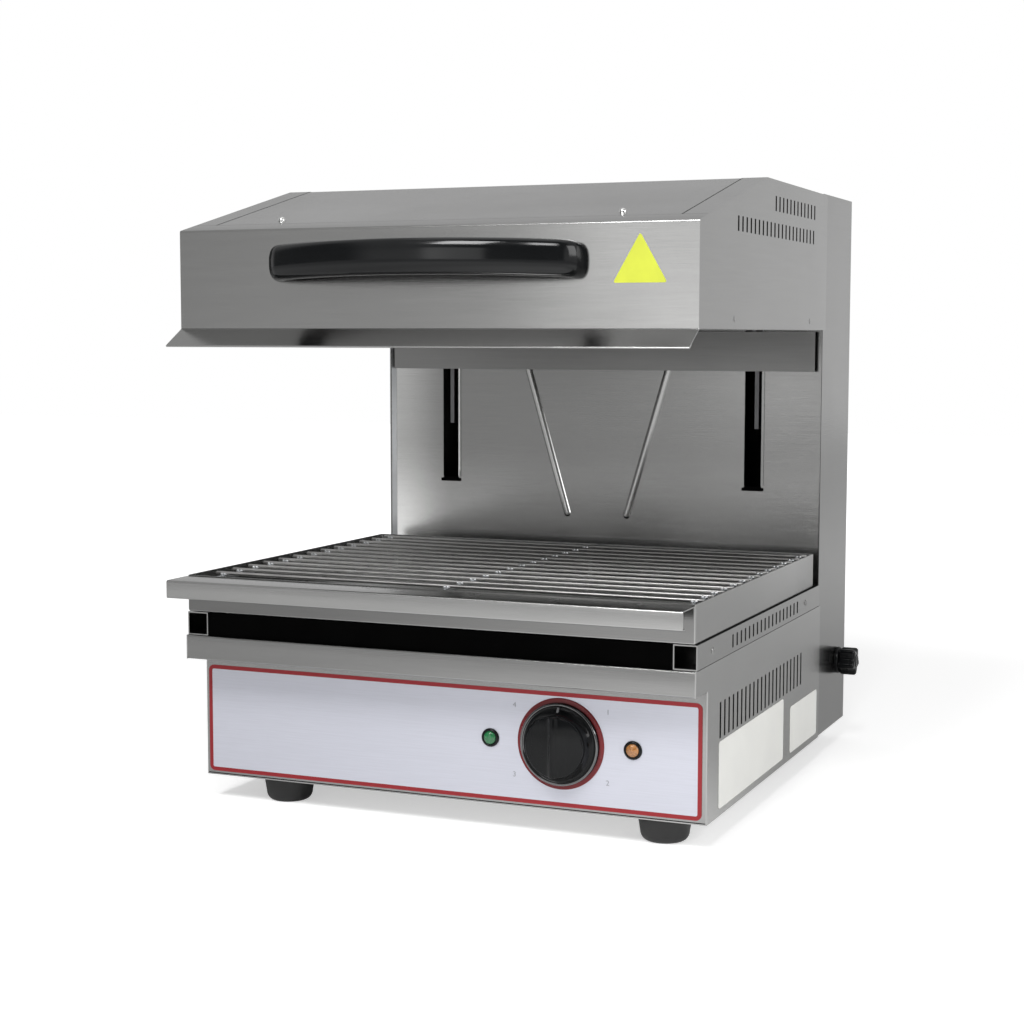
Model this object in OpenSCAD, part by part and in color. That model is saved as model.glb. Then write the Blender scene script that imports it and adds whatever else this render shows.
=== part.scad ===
// Electric cheese melter with a lift hood (rise-and-fall salamander grill), 450 mm class.
// A base box carries the controls and the grill pan, a column stands at its back, and the
// heated hood rides up and down the column on two guide rods, balanced by a weight inside.
// Frame: X to the right, Y to the back, Z up. The origin is on the worktop, in the middle
// of the casing. Lengths inside the modules are counted from the control panel's front
// face (Y) and from the underside of the base (Z), and placed() moves them to the frame.

/* [Casing] */
// Width over the base casing
body_w = 450; // [448:1:452]
// Depth from the control panel to the rear cover
body_d = 464; // [460:1:468]
// Height of the base casing, without its feet
base_h = 126; // [125:0.5:127]
// Height of the column, without the feet
column_h = 508.5; // [506:0.5:512]
// Where the column's front edges stand
column_front = 352; // [351:0.5:353]
// Thickness of the casing sheets
sheet = 1; // [0.8:0.1:1]
// How far the top of the base stands out in front
nose_out = 31; // [29:1:33]
// Height of the folded nose along the front of the base
nose_h = 20.3; // [18:0.1:22]

/* [Feet] */
// Height of the feet
foot_h = 21.5; // [18:0.5:24]
// Diameter of a foot at its top
foot_top_d = 43; // [40:1:44]
// Diameter of a foot at its sole
foot_sole_d = 34; // [30:1:36]
// Distance of the left feet from the middle plane
foot_left = 160; // [150:1:175]
// Distance of the right feet from the middle plane
foot_right = 182; // [170:1:190]
// Distance of the feet from the front and the rear of the casing
foot_inset = 28; // [25:1:35]

/* [Hood] */
// Height of the hood's lower edge at the top of its travel
hood_z = 383.5; // [382:0.5:385]
// Height of the hood's front panel
hood_front_h = 80.7; // [78:0.1:83]
// How far the hood's front panel stands in front of the control panel
hood_out = 32.3; // [31:0.1:33]
// Distance of the ridge behind the control panel
ridge_y = 152; // [145:1:160]
// Width of the hood over its side panels
hood_w = 449.6; // [449.2:0.1:449.8]
// Thickness of the hood's sheets
hood_sheet = 0.8; // [0.7:0.1:0.8]
// How far the visor reaches forward
visor_out = 23.6; // [20:0.1:26]
// How far the visor drops below the hood's lower edge
visor_drop = 13.6; // [10:0.1:15]
// How far the hood can be lowered
hood_travel = 115; // [100:1:115]

/* [Handle] */
// Height of the handle's grip
grip_h = 28; // [24:0.5:30]
// Thickness of the handle's grip
grip_t = 17; // [15:0.5:19]
// Half the length of the handle
handle_half = 136; // [125:1:145]
// How far the handle stands off the hood
handle_out = 45; // [40:1:48]
// How steeply the handle rises from its feet, in degrees
handle_rise = 6; // [0:0.5:10]

/* [Grill pan] */
// Depth of the pan's body
pan_d = 361.6; // [355:0.1:365]
// Height of the pan's walls
pan_h = 31; // [28:0.5:33]
// How far the lip reaches in front of the pan
lip_out = 31.8; // [26:0.1:34]
// Height of the lip's front
lip_h = 15; // [12:0.5:18]
// Number of wires across the pan
wires = 13; // [11:1:14]
// Pitch of the wires
wire_pitch = 26.3; // [22:0.1:26.5]
// Diameter of the wires
wire_d = 3.2; // [2.5:0.1:4]

/* [Controls] */
// Distance of the heat knob from the middle plane
knob_x = 103.5; // [95:0.5:110]
// Height of the controls above the underside of the base
control_z = 54.5; // [50:0.5:58]
// Distance of each lamp from the heat knob
lamp_out = 61; // [55:0.5:66]
// Diameter of the heat knob's skirt
knob_d = 67; // [60:1:70]

/* [Hidden] */

$fn = 48;

steel = "silver";
dark = "dimgray";
black = [0.08, 0.08, 0.09];

// Clearance of a shaft in its bush, and of sheets that slide past each other
running = 0.05;
slide_gap = 0.4;

// Casing
half_w = body_w / 2;
column_half = hood_w / 2 - hood_sheet - slide_gap;
column_rear = body_d - sheet;
side_rear = column_front + 4;
nose_z = base_h - nose_h;
panel_y = column_front + 5;

// Louvre slots, all punched at one pitch
slot_pitch = 12;
slot_w = 4;

// Slots of the back panel that the hood's arms pass through
lift_slot_x = 157.5;
lift_slot_w = 16.5;
lift_slot_z = 233.5;
lift_slot_top = 452;

// Guide rods and the carriage that runs on them
rod_x = 188;
rod_y = 385;
rod_r = 5;
bush_r = 7.5;
bush_l = 20;
carriage_y = 389;
carriage_t = 2;
carriage_z = [352, 438];
arm_x = 159;
arm_t = 4;

// Belt loops and their shafts
belt_x = 120;
belt_w = 8;
belt_t = 1.4;
belt_r = 16;
shaft_y = 420;
shaft_r = 4;
shaft_z = [75, 478];
bracket_x = 143;
bracket_t = 3;
rail_y = [372, 398];
rail_h = 18;
rail_z = [196, 482];

// Locking screw that presses on the disc of the lower shaft
lock_y = 432;
lock_z = 62;
lock_r = 4;
disc_r = 26;
disc_x = 195;
// How far the screw reaches into its knob
lock_grip = 12;

// Pan and grid
runner_w = 19.4;
runner_h = 19.6;
pan_z = base_h + runner_h + slide_gap;
pan_half = 224;
pan_top = pan_z + pan_h;
lip_z = pan_top - 0.8;
grid_z = pan_top - 0.4;
grid_x = 6;
grid_w = 433;
bar_r = 2;
bar_x = [-209, 0, 209];

// Heating elements
tube_r = 4.25;
tube_z = 398;
tube_pitch = 38;
liner_half = 200;
liner_top = 413;

// Profile of the hood's roof
hood_top_z = hood_z + hood_front_h;
roof_z = column_h - 1;
slope = atan2(column_h - hood_top_z, ridge_y + hood_out);
hood_rear_y = column_front - 2;
band_t = 1.2;

module placed() { translate([0, -body_d / 2, foot_h]) children(); }

// Extrudes a side view (Y to the back, Z up) to the width w, centred on X = x
module across(w, x = 0) {
    translate([x, 0, 0]) rotate([90, 0, 90]) linear_extrude(w, center = true) children();
}

// Turns a shape along Z so that it points along +X, or along -Y
module along_x() { rotate([0, 90, 0]) children(); }
module to_front() { rotate([90, 0, 0]) children(); }

module both() { for (s = [-1, 1]) scale_x(s) children(); }
module scale_x(s) { if (s < 0) mirror([1, 0, 0]) children(); else children(); }

// Unit normal on the left of the way from a to b
function left_of(a, b) = [a[1] - b[1], b[0] - a[0]] / norm(b - a);
// Corner of the line that runs at distance t on the left of a, b, c
function mitre(a, b, c, t) = let (n = left_of(a, b), m = left_of(b, c)) b + (n + m) * t / (1 + n * m);
function beside(p, t) = [for (i = [0 : len(p) - 1])
    i == 0 ? p[0] + t * left_of(p[0], p[1])
    : i == len(p) - 1 ? p[i] + t * left_of(p[i - 1], p[i])
    : mitre(p[i - 1], p[i], p[i + 1], t)];
function reversed(p) = [for (i = [len(p) - 1 : -1 : 0]) p[i]];

// Sheet of thickness t on the left of the bent line p (on its right where t is negative)
module bent(p, t) { polygon(concat(p, reversed(beside(p, t)))); }

// Rectangle with round corners, from its lower left corner
module round_rect(size, r) {
    translate([r, 0]) square([size[0] - 2 * r, size[1]]);
    translate([0, r]) square([size[0], size[1] - 2 * r]);
    for (x = [r, size[0] - r], y = [r, size[1] - r]) translate([x, y]) circle(r);
}

// Row of upright slots in a side view
module slot_row(first, count, low, high) {
    for (i = [0 : count - 1])
        translate([first + i * slot_pitch - slot_w / 2, low]) square([slot_w, high - low]);
}

// Domed screw head standing on the XY plane
module screw_head(r, h) {
    ball = (r * r + h * h) / (2 * h);
    intersection() {
        cylinder(r = r, h = h);
        translate([0, 0, h - ball]) sphere(ball, $fn = 48);
    }
}

// ---- Base ----

module base_side_view() {
    difference() {
        polygon([[0, 0], [0, nose_z], [-nose_out, nose_z], [-nose_out, base_h], [side_rear, base_h],
            [side_rear, 0]]);
        slot_row(34, 22, 62.5, 91.5);
    }
}

module base_casing() {
    color(steel) placed() {
        both() across(sheet, half_w - sheet / 2) base_side_view();
        difference() {
            linear_extrude(sheet) union() {
                translate([-half_w + sheet, 0]) square([body_w - 2 * sheet, side_rear]);
                translate([-column_half, side_rear - sheet])
                    square([2 * column_half, body_d - side_rear + sheet]);
            }
            for (p = foot_places()) translate([p[0], p[1], -1]) cylinder(r = 3, h = 3);
            for (i = [0 : 13], y = [150, 210])
                translate([(i - 6.5) * slot_pitch - slot_w / 2, y, -1]) cube([slot_w, 36, 3]);
        }
    }
}

module base_deck() {
    lip = [[2, nose_z], [-nose_out, nose_z], [-nose_out, base_h], [column_front, base_h]];
    color(steel) placed() {
        across(body_w - 2 * sheet) bent(lip, -sheet);
        translate([-column_half + sheet, column_front - sheet, base_h - sheet])
            cube([2 * (column_half - sheet), panel_y + 2 * sheet - column_front, sheet]);
    }
}

module control_panel() {
    fold = 14;
    line = [[fold, sheet], [0, sheet], [0, nose_z], [fold, nose_z]];
    color(steel) placed() difference() {
        across(body_w - 2 * sheet) bent(line, -sheet);
        control_hole(knob_x) cylinder(r = 5, h = 10);
        for (s = [-1, 1]) control_hole(knob_x + s * lamp_out) cylinder(r = 6, h = 10);
    }
}

// Drill along Y through the control panel at X = x
module control_hole(x) { translate([x, 5, control_z]) to_front() children(); }

module control_overlay() {
    color("gainsboro") placed() difference() {
        translate([-222.5, 0, 3.5]) to_front() linear_extrude(0.5) round_rect([443.5, 92.5], 5);
        control_hole(knob_x) cylinder(r = 5, h = 10);
        for (s = [-1, 1]) control_hole(knob_x + s * lamp_out) cylinder(r = 6, h = 10);
    }
}

module knob_bezel() {
    color("darkred") placed() translate([knob_x, -0.5, control_z]) to_front()
        rotate_extrude() polygon([[5, 0], [37, 0], [37, 0.6], [36.5, 1], [5, 1]]);
}

module front_baffle() {
    line = [[-10, base_h], [-nose_out + 4, base_h], [-nose_out + 4, pan_z - 0.8]];
    color(black) placed() across(2 * (half_w - runner_w - 0.2)) bent(line, -1);
}

module runner_right() {
    color(steel) placed() difference() {
        translate([half_w - runner_w, 3 - nose_out, base_h])
            cube([runner_w, column_front + nose_out - 3, runner_h]);
        translate([half_w - runner_w + sheet, -nose_out, base_h + sheet])
            cube([runner_w - 2 * sheet, column_front + 2 * nose_out, runner_h - 2 * sheet]);
        across(3 * sheet, half_w) slot_row(66.5, 18, base_h + 4, base_h + 14.5);
    }
}

module runner_left() { mirror([1, 0, 0]) runner_right(); }

// ---- Column ----

module column_casing() {
    color(steel) placed() difference() {
        union() {
            both() translate([column_half - sheet, column_front, sheet])
                cube([sheet, column_rear - column_front, column_h - sheet]);
            translate([-column_half, column_front, column_h - sheet])
                cube([2 * column_half, column_rear - column_front, sheet]);
        }
        translate([column_half - 3, lock_y, lock_z]) along_x() cylinder(r = lock_r + 0.5, h = 6);
    }
}

// Pressed rib from its lower end to its upper end, in the plane of the back panel
module rib(low, high) {
    r = 4.5;
    proud = 1.8;
    way = high - low;
    translate([low[0], panel_y - proud + r, low[1]]) rotate([0, atan2(way[0], way[1]), 0]) {
        cylinder(r = r, h = norm(way));
        sphere(r);
        translate([0, 0, norm(way)]) sphere(r);
    }
}

module back_panel() {
    rim = 2.4;
    color(steel) placed() {
        difference() {
            union() {
                translate([-column_half + sheet, panel_y, base_h])
                    cube([2 * (column_half - sheet), sheet, column_h - sheet - base_h]);
                intersection() {
                    both() rib([31, 203.5], [88, 398]);
                    translate([-200, panel_y - 10, 150]) cube([400, 10 + sheet, 300]);
                }
                both() translate([lift_slot_x - lift_slot_w / 2 - rim, panel_y - 0.9, lift_slot_z + 3])
                    cube([lift_slot_w + 2 * rim, 1, lift_slot_top - lift_slot_z]);
            }
            both() translate([lift_slot_x - lift_slot_w / 2, panel_y - 5, lift_slot_z])
                cube([lift_slot_w, 10, lift_slot_top - lift_slot_z]);
        }
    }
}

module slot_bumpers() {
    color(black) placed() both() translate([lift_slot_x, 0, lift_slot_z]) {
        translate([-lift_slot_w / 2, panel_y - 1, 0]) cube([lift_slot_w, 4, 2]);
        translate([-lift_slot_w / 2 - 2, panel_y - 2, -2]) cube([lift_slot_w + 4, 2, 3]);
    }
}

module rear_cover() {
    color(steel) placed() difference() {
        translate([-column_half, column_rear, sheet]) cube([2 * column_half, sheet, column_h - sheet]);
        for (i = [0 : 17], z = [60, 110, 400, 450])
            translate([(i - 8.5) * slot_pitch - slot_w / 2, column_rear - 1, z]) cube([slot_w, 3, 30]);
        gland_place() cylinder(r = 8, h = 20, center = true);
    }
}

module rear_screw_places() {
    for (x = [-210, 210], z = [16, 190, 350, 494]) translate([x, body_d, z]) rotate([-90, 0, 0]) children();
}

module casing_screws() {
    color(steel) placed() {
        both() translate([half_w, 12, base_h + 9.6]) along_x() screw_head(3.2, 1.4);
        both() translate([half_w, 300, base_h + 9.6]) along_x() screw_head(3.2, 1.4);
        rear_screw_places() screw_head(3.6, 1.8);
    }
}

module cross_rails() {
    color(steel) placed() difference() {
        for (z = rail_z) across(2 * (column_half - sheet))
            bent([[rail_y[0], z], [rail_y[1], z], [rail_y[1], z + rail_h], [rail_y[0], z + rail_h]], 1.5);
        both() translate([rod_x, rod_y, rail_z[0] + 5]) cylinder(r = rod_r, h = rail_z[1] - rail_z[0]);
    }
}

module guide_rods() {
    color("lightgray") placed() both() translate([rod_x, rod_y, rail_z[0] + 6])
        cylinder(r = rod_r, h = rail_z[1] + 8 - rail_z[0] - 6);
}

module shaft_brackets() {
    color(steel) placed() both() difference() {
        union() {
            translate([bracket_x, rail_y[1], shaft_z[1] - 14]) cube([bracket_t, 36, 30]);
            translate([bracket_x - 16, rail_y[1], rail_z[1] + 2]) cube([16, 3, 10]);
            translate([bracket_x, shaft_y - 14, sheet]) cube([bracket_t, 28, shaft_z[0] + 12]);
            translate([bracket_x - 16, shaft_y - 14, sheet]) cube([16, 28, 3]);
        }
        for (z = shaft_z) translate([bracket_x - 2, shaft_y, z]) along_x()
            cylinder(r = shaft_r + 2, h = bracket_t + 4);
    }
}

module shaft_bushings() {
    color("darkgoldenrod") placed() both() for (z = shaft_z) translate([bracket_x - 1, shaft_y, z]) along_x()
        rotate_extrude() polygon([[shaft_r + running, 0], [shaft_r + 4, 0], [shaft_r + 4, 1],
            [shaft_r + 2, 1], [shaft_r + 2, bracket_t + 2], [shaft_r + running, bracket_t + 2]]);
}

// Side view of the loop that runs at the radius r round both shafts
module loop(r) {
    for (z = shaft_z) translate([shaft_y, z]) circle(r, $fn = 64);
    translate([shaft_y - r, shaft_z[0]]) square([2 * r, shaft_z[1] - shaft_z[0]]);
}

module lift_belts() {
    color(black) placed() both() across(belt_w, belt_x) difference() {
        loop(belt_r + belt_t / 2);
        loop(belt_r - belt_t / 2);
    }
}

module lock_boss() {
    color(steel) placed() translate([column_half - sheet - 8, lock_y, lock_z]) along_x() difference() {
        cylinder(r = 8, h = 8, $fn = 6);
        translate([0, 0, -1]) cylinder(r = lock_r + running, h = 10);
    }
}

// ---- Electric parts ----

module energy_regulator() {
    color(dark) placed() translate([knob_x, sheet, control_z]) rotate([-90, 0, 0]) difference() {
        union() {
            translate([-21, -23, 2]) cube([42, 46, 28]);
            translate([0, 0, -1.5]) cylinder(r = 5, h = 4);
            for (x = [-12, 0, 12], y = [-14, 14]) translate([x - 3, y - 0.4, 29]) cube([6, 0.8, 9]);
        }
        translate([0, 0, -2]) cylinder(r = 3 + running, h = 14);
    }
}

module lamp() {
    rotate_extrude()
        polygon([[0, -24], [5.9, -24], [5.9, 0.5], [5.4, 0.5], [5.4, 2.2], [4.6, 3.2], [2.6, 4], [0, 4.3]]);
}

module green_lamp() {
    color("green") placed() translate([knob_x - lamp_out, 0, control_z]) to_front() lamp();
}

module amber_lamp() {
    color("orange") placed() translate([knob_x + lamp_out, 0, control_z]) to_front() lamp();
}

module lamp_bezels() {
    color(black) placed() for (s = [-1, 1]) translate([knob_x + s * lamp_out, 0, control_z]) to_front()
        rotate_extrude() polygon([[5.4, 0.5], [7.6, 0.5], [7.6, 1.4], [6.8, 2.4], [5.9, 2.6], [5.4, 2.2]]);
}

module terminal_block() {
    color("ivory") placed() translate([-40, 290, sheet]) difference() {
        cube([80, 26, 22]);
        for (i = [0 : 4]) {
            translate([3 + i * 15, -1, 10]) cube([14, 8, 13]);
            translate([3 + i * 15, 19, 10]) cube([14, 8, 13]);
            translate([10 + i * 15, 13, 14]) cylinder(r = 3.2, h = 9);
        }
    }
}

// Radius of the gland's hole for the supply cord
gland_r = 4.2;

module gland_place() { translate([-150, body_d, 45]) rotate([-90, 0, 0]) children(); }

module cable_gland() {
    color(black) placed() gland_place() difference() {
        union() {
            cylinder(r = 13, h = 5, $fn = 6);
            rotate_extrude() polygon([[0, 5], [11, 5], [11, 12], [9.5, 15.5], [6.5, 17], [0, 17]]);
            translate([0, 0, -9]) cylinder(r = 8, h = 10);
            translate([0, 0, -6]) cylinder(r = 12, h = 5, $fn = 6);
        }
        translate([0, 0, -10]) cylinder(r = gland_r, h = 30);
    }
}

// ---- Feet ----

function foot_places() = [for (y = [foot_inset, body_d - foot_inset], x = [-foot_left, foot_right]) [x, y]];

module foot(i) {
    top = foot_top_d / 2;
    sole = foot_sole_d / 2;
    color(black) placed() translate([foot_places()[i][0], foot_places()[i][1], -foot_h]) rotate_extrude()
        polygon([[6.5, 0], [sole - 3, 0], [sole - 0.6, 0.7], [sole + 1.3, 2.4], [sole + 2.5, 4.8],
            [top - 0.8, foot_h - 9], [top, foot_h - 4], [top, foot_h], [2.6, foot_h], [2.6, 10], [6.5, 10]]);
}

module foot_front_left() { foot(0); }
module foot_front_right() { foot(1); }
module foot_rear_left() { foot(2); }
module foot_rear_right() { foot(3); }

module foot_screws() {
    color("lightgray") placed() for (p = foot_places()) translate([p[0], p[1], -foot_h]) {
        translate([0, 0, 6.5]) cylinder(r = 5, h = 3.5);
        translate([0, 0, 9]) cylinder(r = 2.5, h = foot_h);
        translate([0, 0, foot_h + sheet]) cylinder(r = 5, h = 4, $fn = 6);
    }
}

// ---- Hood ----

ridge = [ridge_y, column_h];

// Where the front panel's upper fold ends on the slope
fold_y = -10;

function up_slope(y) = [y, hood_top_z + (y + hood_out) * tan(slope)];

// Side view of the hood's front: visor, front panel and the fold onto the roof
visor = [[-hood_out - visor_out, hood_z - visor_drop], [-hood_out, hood_z]];

module front_sheet() { bent([visor[0], visor[1], [-hood_out, hood_top_z], up_slope(fold_y)], -hood_sheet); }

module hood_front() {
    hem = 7;
    way = (visor[1] - visor[0]) / norm(visor[1] - visor[0]);
    color(steel) placed() across(hood_w) {
        front_sheet();
        bent(beside([visor[0], visor[0] + hem * way], -hood_sheet), -hood_sheet);
    }
}

module roof_sheet() { bent([up_slope(fold_y + 0.5), ridge, [hood_rear_y + 1, roof_z]], -hood_sheet); }

module hood_cover() {
    color(steel) placed() across(2 * (half_w - 21.5)) roof_sheet();
}

module hood_side(s) {
    front = hood_sheet - hood_out;
    flange = 20.4;
    placed() scale_x(s) {
        across(hood_sheet, (hood_w - hood_sheet) / 2) difference() {
            polygon([[front, hood_z], up_slope(front), ridge, [column_front + 8, roof_z],
                [column_front + 8, hood_z]]);
            front_sheet();
            slot_row(69, 21, 460.5, 472.5);
            slot_row(180, 12, 482.5, 495);
        }
        across(flange, hood_w / 2 - hood_sheet - flange / 2) roof_sheet();
    }
}

module hood_side_left() { color(steel) hood_side(-1); }
module hood_side_right() { color(steel) hood_side(1); }

module hood_rear() {
    line = [[hood_rear_y - 14, roof_z - 1.2], [hood_rear_y, roof_z - 1.2], [hood_rear_y, hood_z]];
    color(steel) placed() across(hood_w - 2 * hood_sheet) bent(line, -sheet);
}

module rear_band() {
    low = hood_z - 38.5;
    line = [[hood_rear_y + 4, low], [hood_rear_y, low], [hood_rear_y, hood_z - 1.5]];
    color(steel) placed() across(2 * (column_half - 6)) bent(line, -band_t);
}

// The handle's centre line is a wide bow with tight ends that run back to the hood. It is
// followed by its heading, from -90 where it leaves the hood on the left to 90 on the right.
bow_angle = 21;
end_r = 14;
grip_x = handle_half - grip_t / 2;
grip_front = handle_out - grip_t / 2;
handle_z = hood_z + 51.5;
bow_r = (grip_x - end_r) / sin(bow_angle) + end_r;
headings = concat([for (i = [0 : 9]) -90 + i * (90 - bow_angle) / 10], [for (i = [-6 : 6]) bow_angle * i / 6],
    [for (i = [1 : 10]) bow_angle + i * (90 - bow_angle) / 10]);

function grip_point(h) = let (c = abs(h) < bow_angle ? bow_r : end_r, a = bow_angle * sign(h))
    [c * sin(h) + (bow_r - c) * sin(a), bow_r - c * cos(h) - (bow_r - c) * cos(a)];

// Full oval section of the grip, between an ellipse and a rectangle
fullness = 2.6;
function swell(t) = sign(t) * pow(abs(t), 2 / fullness);
section = [for (a = [0 : 15 : 345]) [grip_t / 2 * swell(cos(a)), grip_h / 2 * swell(sin(a))]];

// The section, turned to the heading a at the point p, and raised with its way off the hood
function ring(p, a) = [for (c = section) let (y = p[1] - c[0] * cos(a))
    [p[0] + c[0] * sin(a), y, c[1] + (grip_front - y) * tan(handle_rise)]];

module hood_handle() {
    ends = [-grip_x, grip_x];
    rings = concat([ring([ends[0], grip_front - 0.2], -90)], [for (a = headings) ring(grip_point(a), a)],
        [ring([ends[1], grip_front - 0.2], 90)]);
    n = len(rings[0]);
    last = len(rings) - 1;
    skin = [for (i = [0 : last - 1], k = [0 : n - 1]) let (m = (k + 1) % n)
        [i * n + k, (i + 1) * n + k, (i + 1) * n + m, i * n + m]];
    caps = [[for (k = [0 : n - 1]) k], [for (k = [n - 1 : -1 : 0]) last * n + k]];
    color(black) placed() translate([0, -hood_out - grip_front, handle_z])
        polyhedron([for (r = rings) each r], concat(skin, caps), convexity = 4);
}

module hood_screws() {
    color("lightgray") placed() {
        both() translate([150.5, up_slope(7)[0], up_slope(7)[1]]) rotate([slope, 0, 0]) screw_head(3.6, 1.9);
        both() for (z = [-8, 8]) translate([grip_x, hood_sheet - hood_out, handle_z + z])
            rotate([-90, 0, 0]) screw_head(3.6, 2.2);
        both() for (y = [60, 300]) translate([hood_w / 2, y, hood_z + 8]) along_x() screw_head(2.8, 1.2);
    }
}

module hood_liner() {
    low = hood_z + 0.8;
    line = [[-hood_out + hood_sheet, low], [-8, low], [12, liner_top], [306, liner_top], [326, low],
        [hood_rear_y - sheet, low]];
    color(steel) placed() difference() {
        union() {
            across(2 * liner_half) bent(line, hood_sheet);
            both() across(hood_sheet, liner_half + hood_sheet / 2)
                polygon([for (i = [1 : 4]) line[i] + [0, hood_sheet]]);
            both() translate([liner_half, -hood_out + hood_sheet, low])
                cube([hood_w / 2 - hood_sheet - liner_half, hood_rear_y - sheet + hood_out - hood_sheet,
                    hood_sheet]);
        }
        for (y = tube_ys()) translate([liner_half - 2, y, tube_z]) along_x() cylinder(r = tube_r, h = 5);
    }
}

function tube_ys() = [for (i = [0 : 7]) 26 + i * tube_pitch];

module insulation_board() {
    color("wheat") placed() translate([-182, 16, liner_top + hood_sheet]) cube([364, 286, 12]);
}

module heating_elements() {
    bend_x = -165;
    color(dark) placed() {
        for (y = tube_ys()) translate([bend_x, y, tube_z]) along_x() cylinder(r = tube_r, h = 212 - bend_x);
        for (i = [0 : 2 : 6]) translate([bend_x, tube_ys()[i] + tube_pitch / 2, tube_z]) rotate([0, 0, 90])
            rotate_extrude(angle = 180) translate([tube_pitch / 2, 0]) circle(tube_r);
    }
}

module element_hangers() {
    color(steel) placed() for (x = [-60, 80]) difference() {
        across(1.5, x) polygon([[22, 391], [296, 391], [303, liner_top], [15, liner_top]]);
        for (y = tube_ys()) translate([x - 2, y, tube_z]) along_x() cylinder(r = tube_r + 0.3, h = 4);
    }
}

module element_terminals() {
    color("ivory") placed() for (y = tube_ys()) translate([liner_half + hood_sheet, y, tube_z]) along_x() {
        difference() {
            cylinder(r = 7, h = 5, $fn = 6);
            translate([0, 0, -1]) cylinder(r = tube_r, h = 7);
        }
        translate([0, 0, 212 - liner_half - hood_sheet]) cylinder(r = 2, h = 7);
    }
}

// ---- Lift inside the column ----

module carriage() {
    color(steel) placed() difference() {
        union() {
            translate([-rod_x + 8, carriage_y, carriage_z[0]])
                cube([2 * rod_x - 16, carriage_t, carriage_z[1] - carriage_z[0]]);
            both() for (z = [carriage_z[0], carriage_z[1] - bush_l])
                translate([rod_x - 11, rod_y - 11, z]) cube([22, 22, bush_l]);
        }
        both() translate([rod_x, rod_y, carriage_z[0] - 1])
            cylinder(r = bush_r, h = carriage_z[1] - carriage_z[0] + 2);
        translate([-70, carriage_y - 1, carriage_z[0] + 20]) cube([140, 4, 46]);
    }
}

module guide_bushings() {
    color("darkgoldenrod") placed() both() for (z = [carriage_z[0], carriage_z[1] - bush_l])
        translate([rod_x, rod_y, z]) difference() {
            cylinder(r = bush_r, h = bush_l);
            translate([0, 0, -1]) cylinder(r = rod_r + running, h = bush_l + 2);
        }
}

module carriage_arms() {
    front = hood_rear_y + band_t;
    color(steel) placed() both() {
        translate([arm_x - arm_t / 2, front, carriage_z[0]])
            cube([arm_t, carriage_y - front, carriage_z[1] - carriage_z[0]]);
        translate([arm_x - 9, hood_rear_y, hood_z + 3]) cube([11, 2, 48]);
        translate([arm_x - arm_t / 2, panel_y + 6, 290]) cube([arm_t, 6, carriage_z[0] - 290 + 1]);
    }
}

// Clamp that holds a belt run at Y = run, fixed to a plate on its front side at Y = from
module clamp(run, from, z) {
    gap = belt_t / 2 + 0.3;
    translate([belt_x - 6.5, 0, z]) {
        translate([0, from, 0]) cube([13, run - gap - from, 20]);
        translate([0, run + gap, 0]) cube([13, 2.5, 20]);
        for (x = [0, 11.5]) translate([x, run - gap - 0.5, 0]) cube([1.5, 2 * gap + 1, 20]);
    }
}

module belt_clamps() {
    color(steel) placed() both() clamp(shaft_y - belt_r, carriage_y + carriage_t, 385);
}

module counterweight() {
    slab = 24;
    low = 92;
    color(dark) placed() {
        for (i = [0 : 4]) translate([-96, 406, low + i * (slab + 0.6)]) cube([192, 27, slab]);
        both() translate([70, 419.5, low - 4]) cylinder(r = 4, h = 5 * slab + 12);
        both() translate([70, 433, low + 40]) cube([belt_x + 6.5 - 70, 2, 28]);
        both() clamp(shaft_y + belt_r, 434.4, low + 44);
    }
}

module pulleys(z) {
    color("lightgray") placed() both() translate([belt_x - 6, shaft_y, z]) along_x() difference() {
        union() {
            cylinder(r = belt_r - belt_t / 2 - 0.3, h = 12);
            for (x = [0, 10.5]) translate([0, 0, x]) cylinder(r = belt_r + 2.5, h = 1.5);
        }
        translate([0, 0, -1]) cylinder(r = shaft_r, h = 14);
    }
}

module upper_pulleys() { pulleys(shaft_z[1]); }
module lower_pulleys() { pulleys(shaft_z[0]); }

module upper_shaft() {
    color("lightgray") placed() translate([-150, shaft_y, shaft_z[1]]) along_x()
        cylinder(r = shaft_r, h = 300);
}

module lower_shaft() {
    color("lightgray") placed() {
        translate([-150, shaft_y, shaft_z[0]]) along_x() cylinder(r = shaft_r, h = 150 + disc_x + 3);
        translate([disc_x, shaft_y, shaft_z[0]]) along_x() cylinder(r = disc_r, h = 3, $fn = 96);
        translate([disc_x - 8, shaft_y, shaft_z[0]]) along_x() cylinder(r = 9, h = 9);
    }
}

module lock_stud() {
    start = disc_x + 3.4;
    color("lightgray") placed() translate([start, lock_y, lock_z]) along_x() {
        cylinder(r = 5.5, h = 3);
        cylinder(r = lock_r, h = column_half + slide_gap + lock_grip - start);
    }
}

module lock_knob() {
    lobes = 5;
    out = 14;
    color(black) placed() translate([column_half + slide_gap, lock_y, lock_z]) along_x() difference() {
        union() {
            rotate_extrude() polygon([[0, 0], [12.6, 0], [13, 0.5], [13, 2.8], [12.4, 3.4], [0, 3.4]]);
            intersection() {
                translate([0, 0, 3]) linear_extrude(17.2) union() {
                    circle(10);
                    for (i = [0 : lobes - 1]) rotate(i * 360 / lobes) {
                        translate([out - 4, 0]) circle(4);
                        translate([0, -4]) square([out - 4, 8]);
                    }
                }
                rotate_extrude()
                    polygon([[0, 3], [10, 3], [out + 0.1, 6], [out + 0.1, 17], [out - 2.5, 19.4], [0, 20.2]]);
            }
        }
        translate([0, 0, -1]) cylinder(r = lock_r, h = lock_grip + 1);
    }
}

// ---- Heat knob ----

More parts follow.
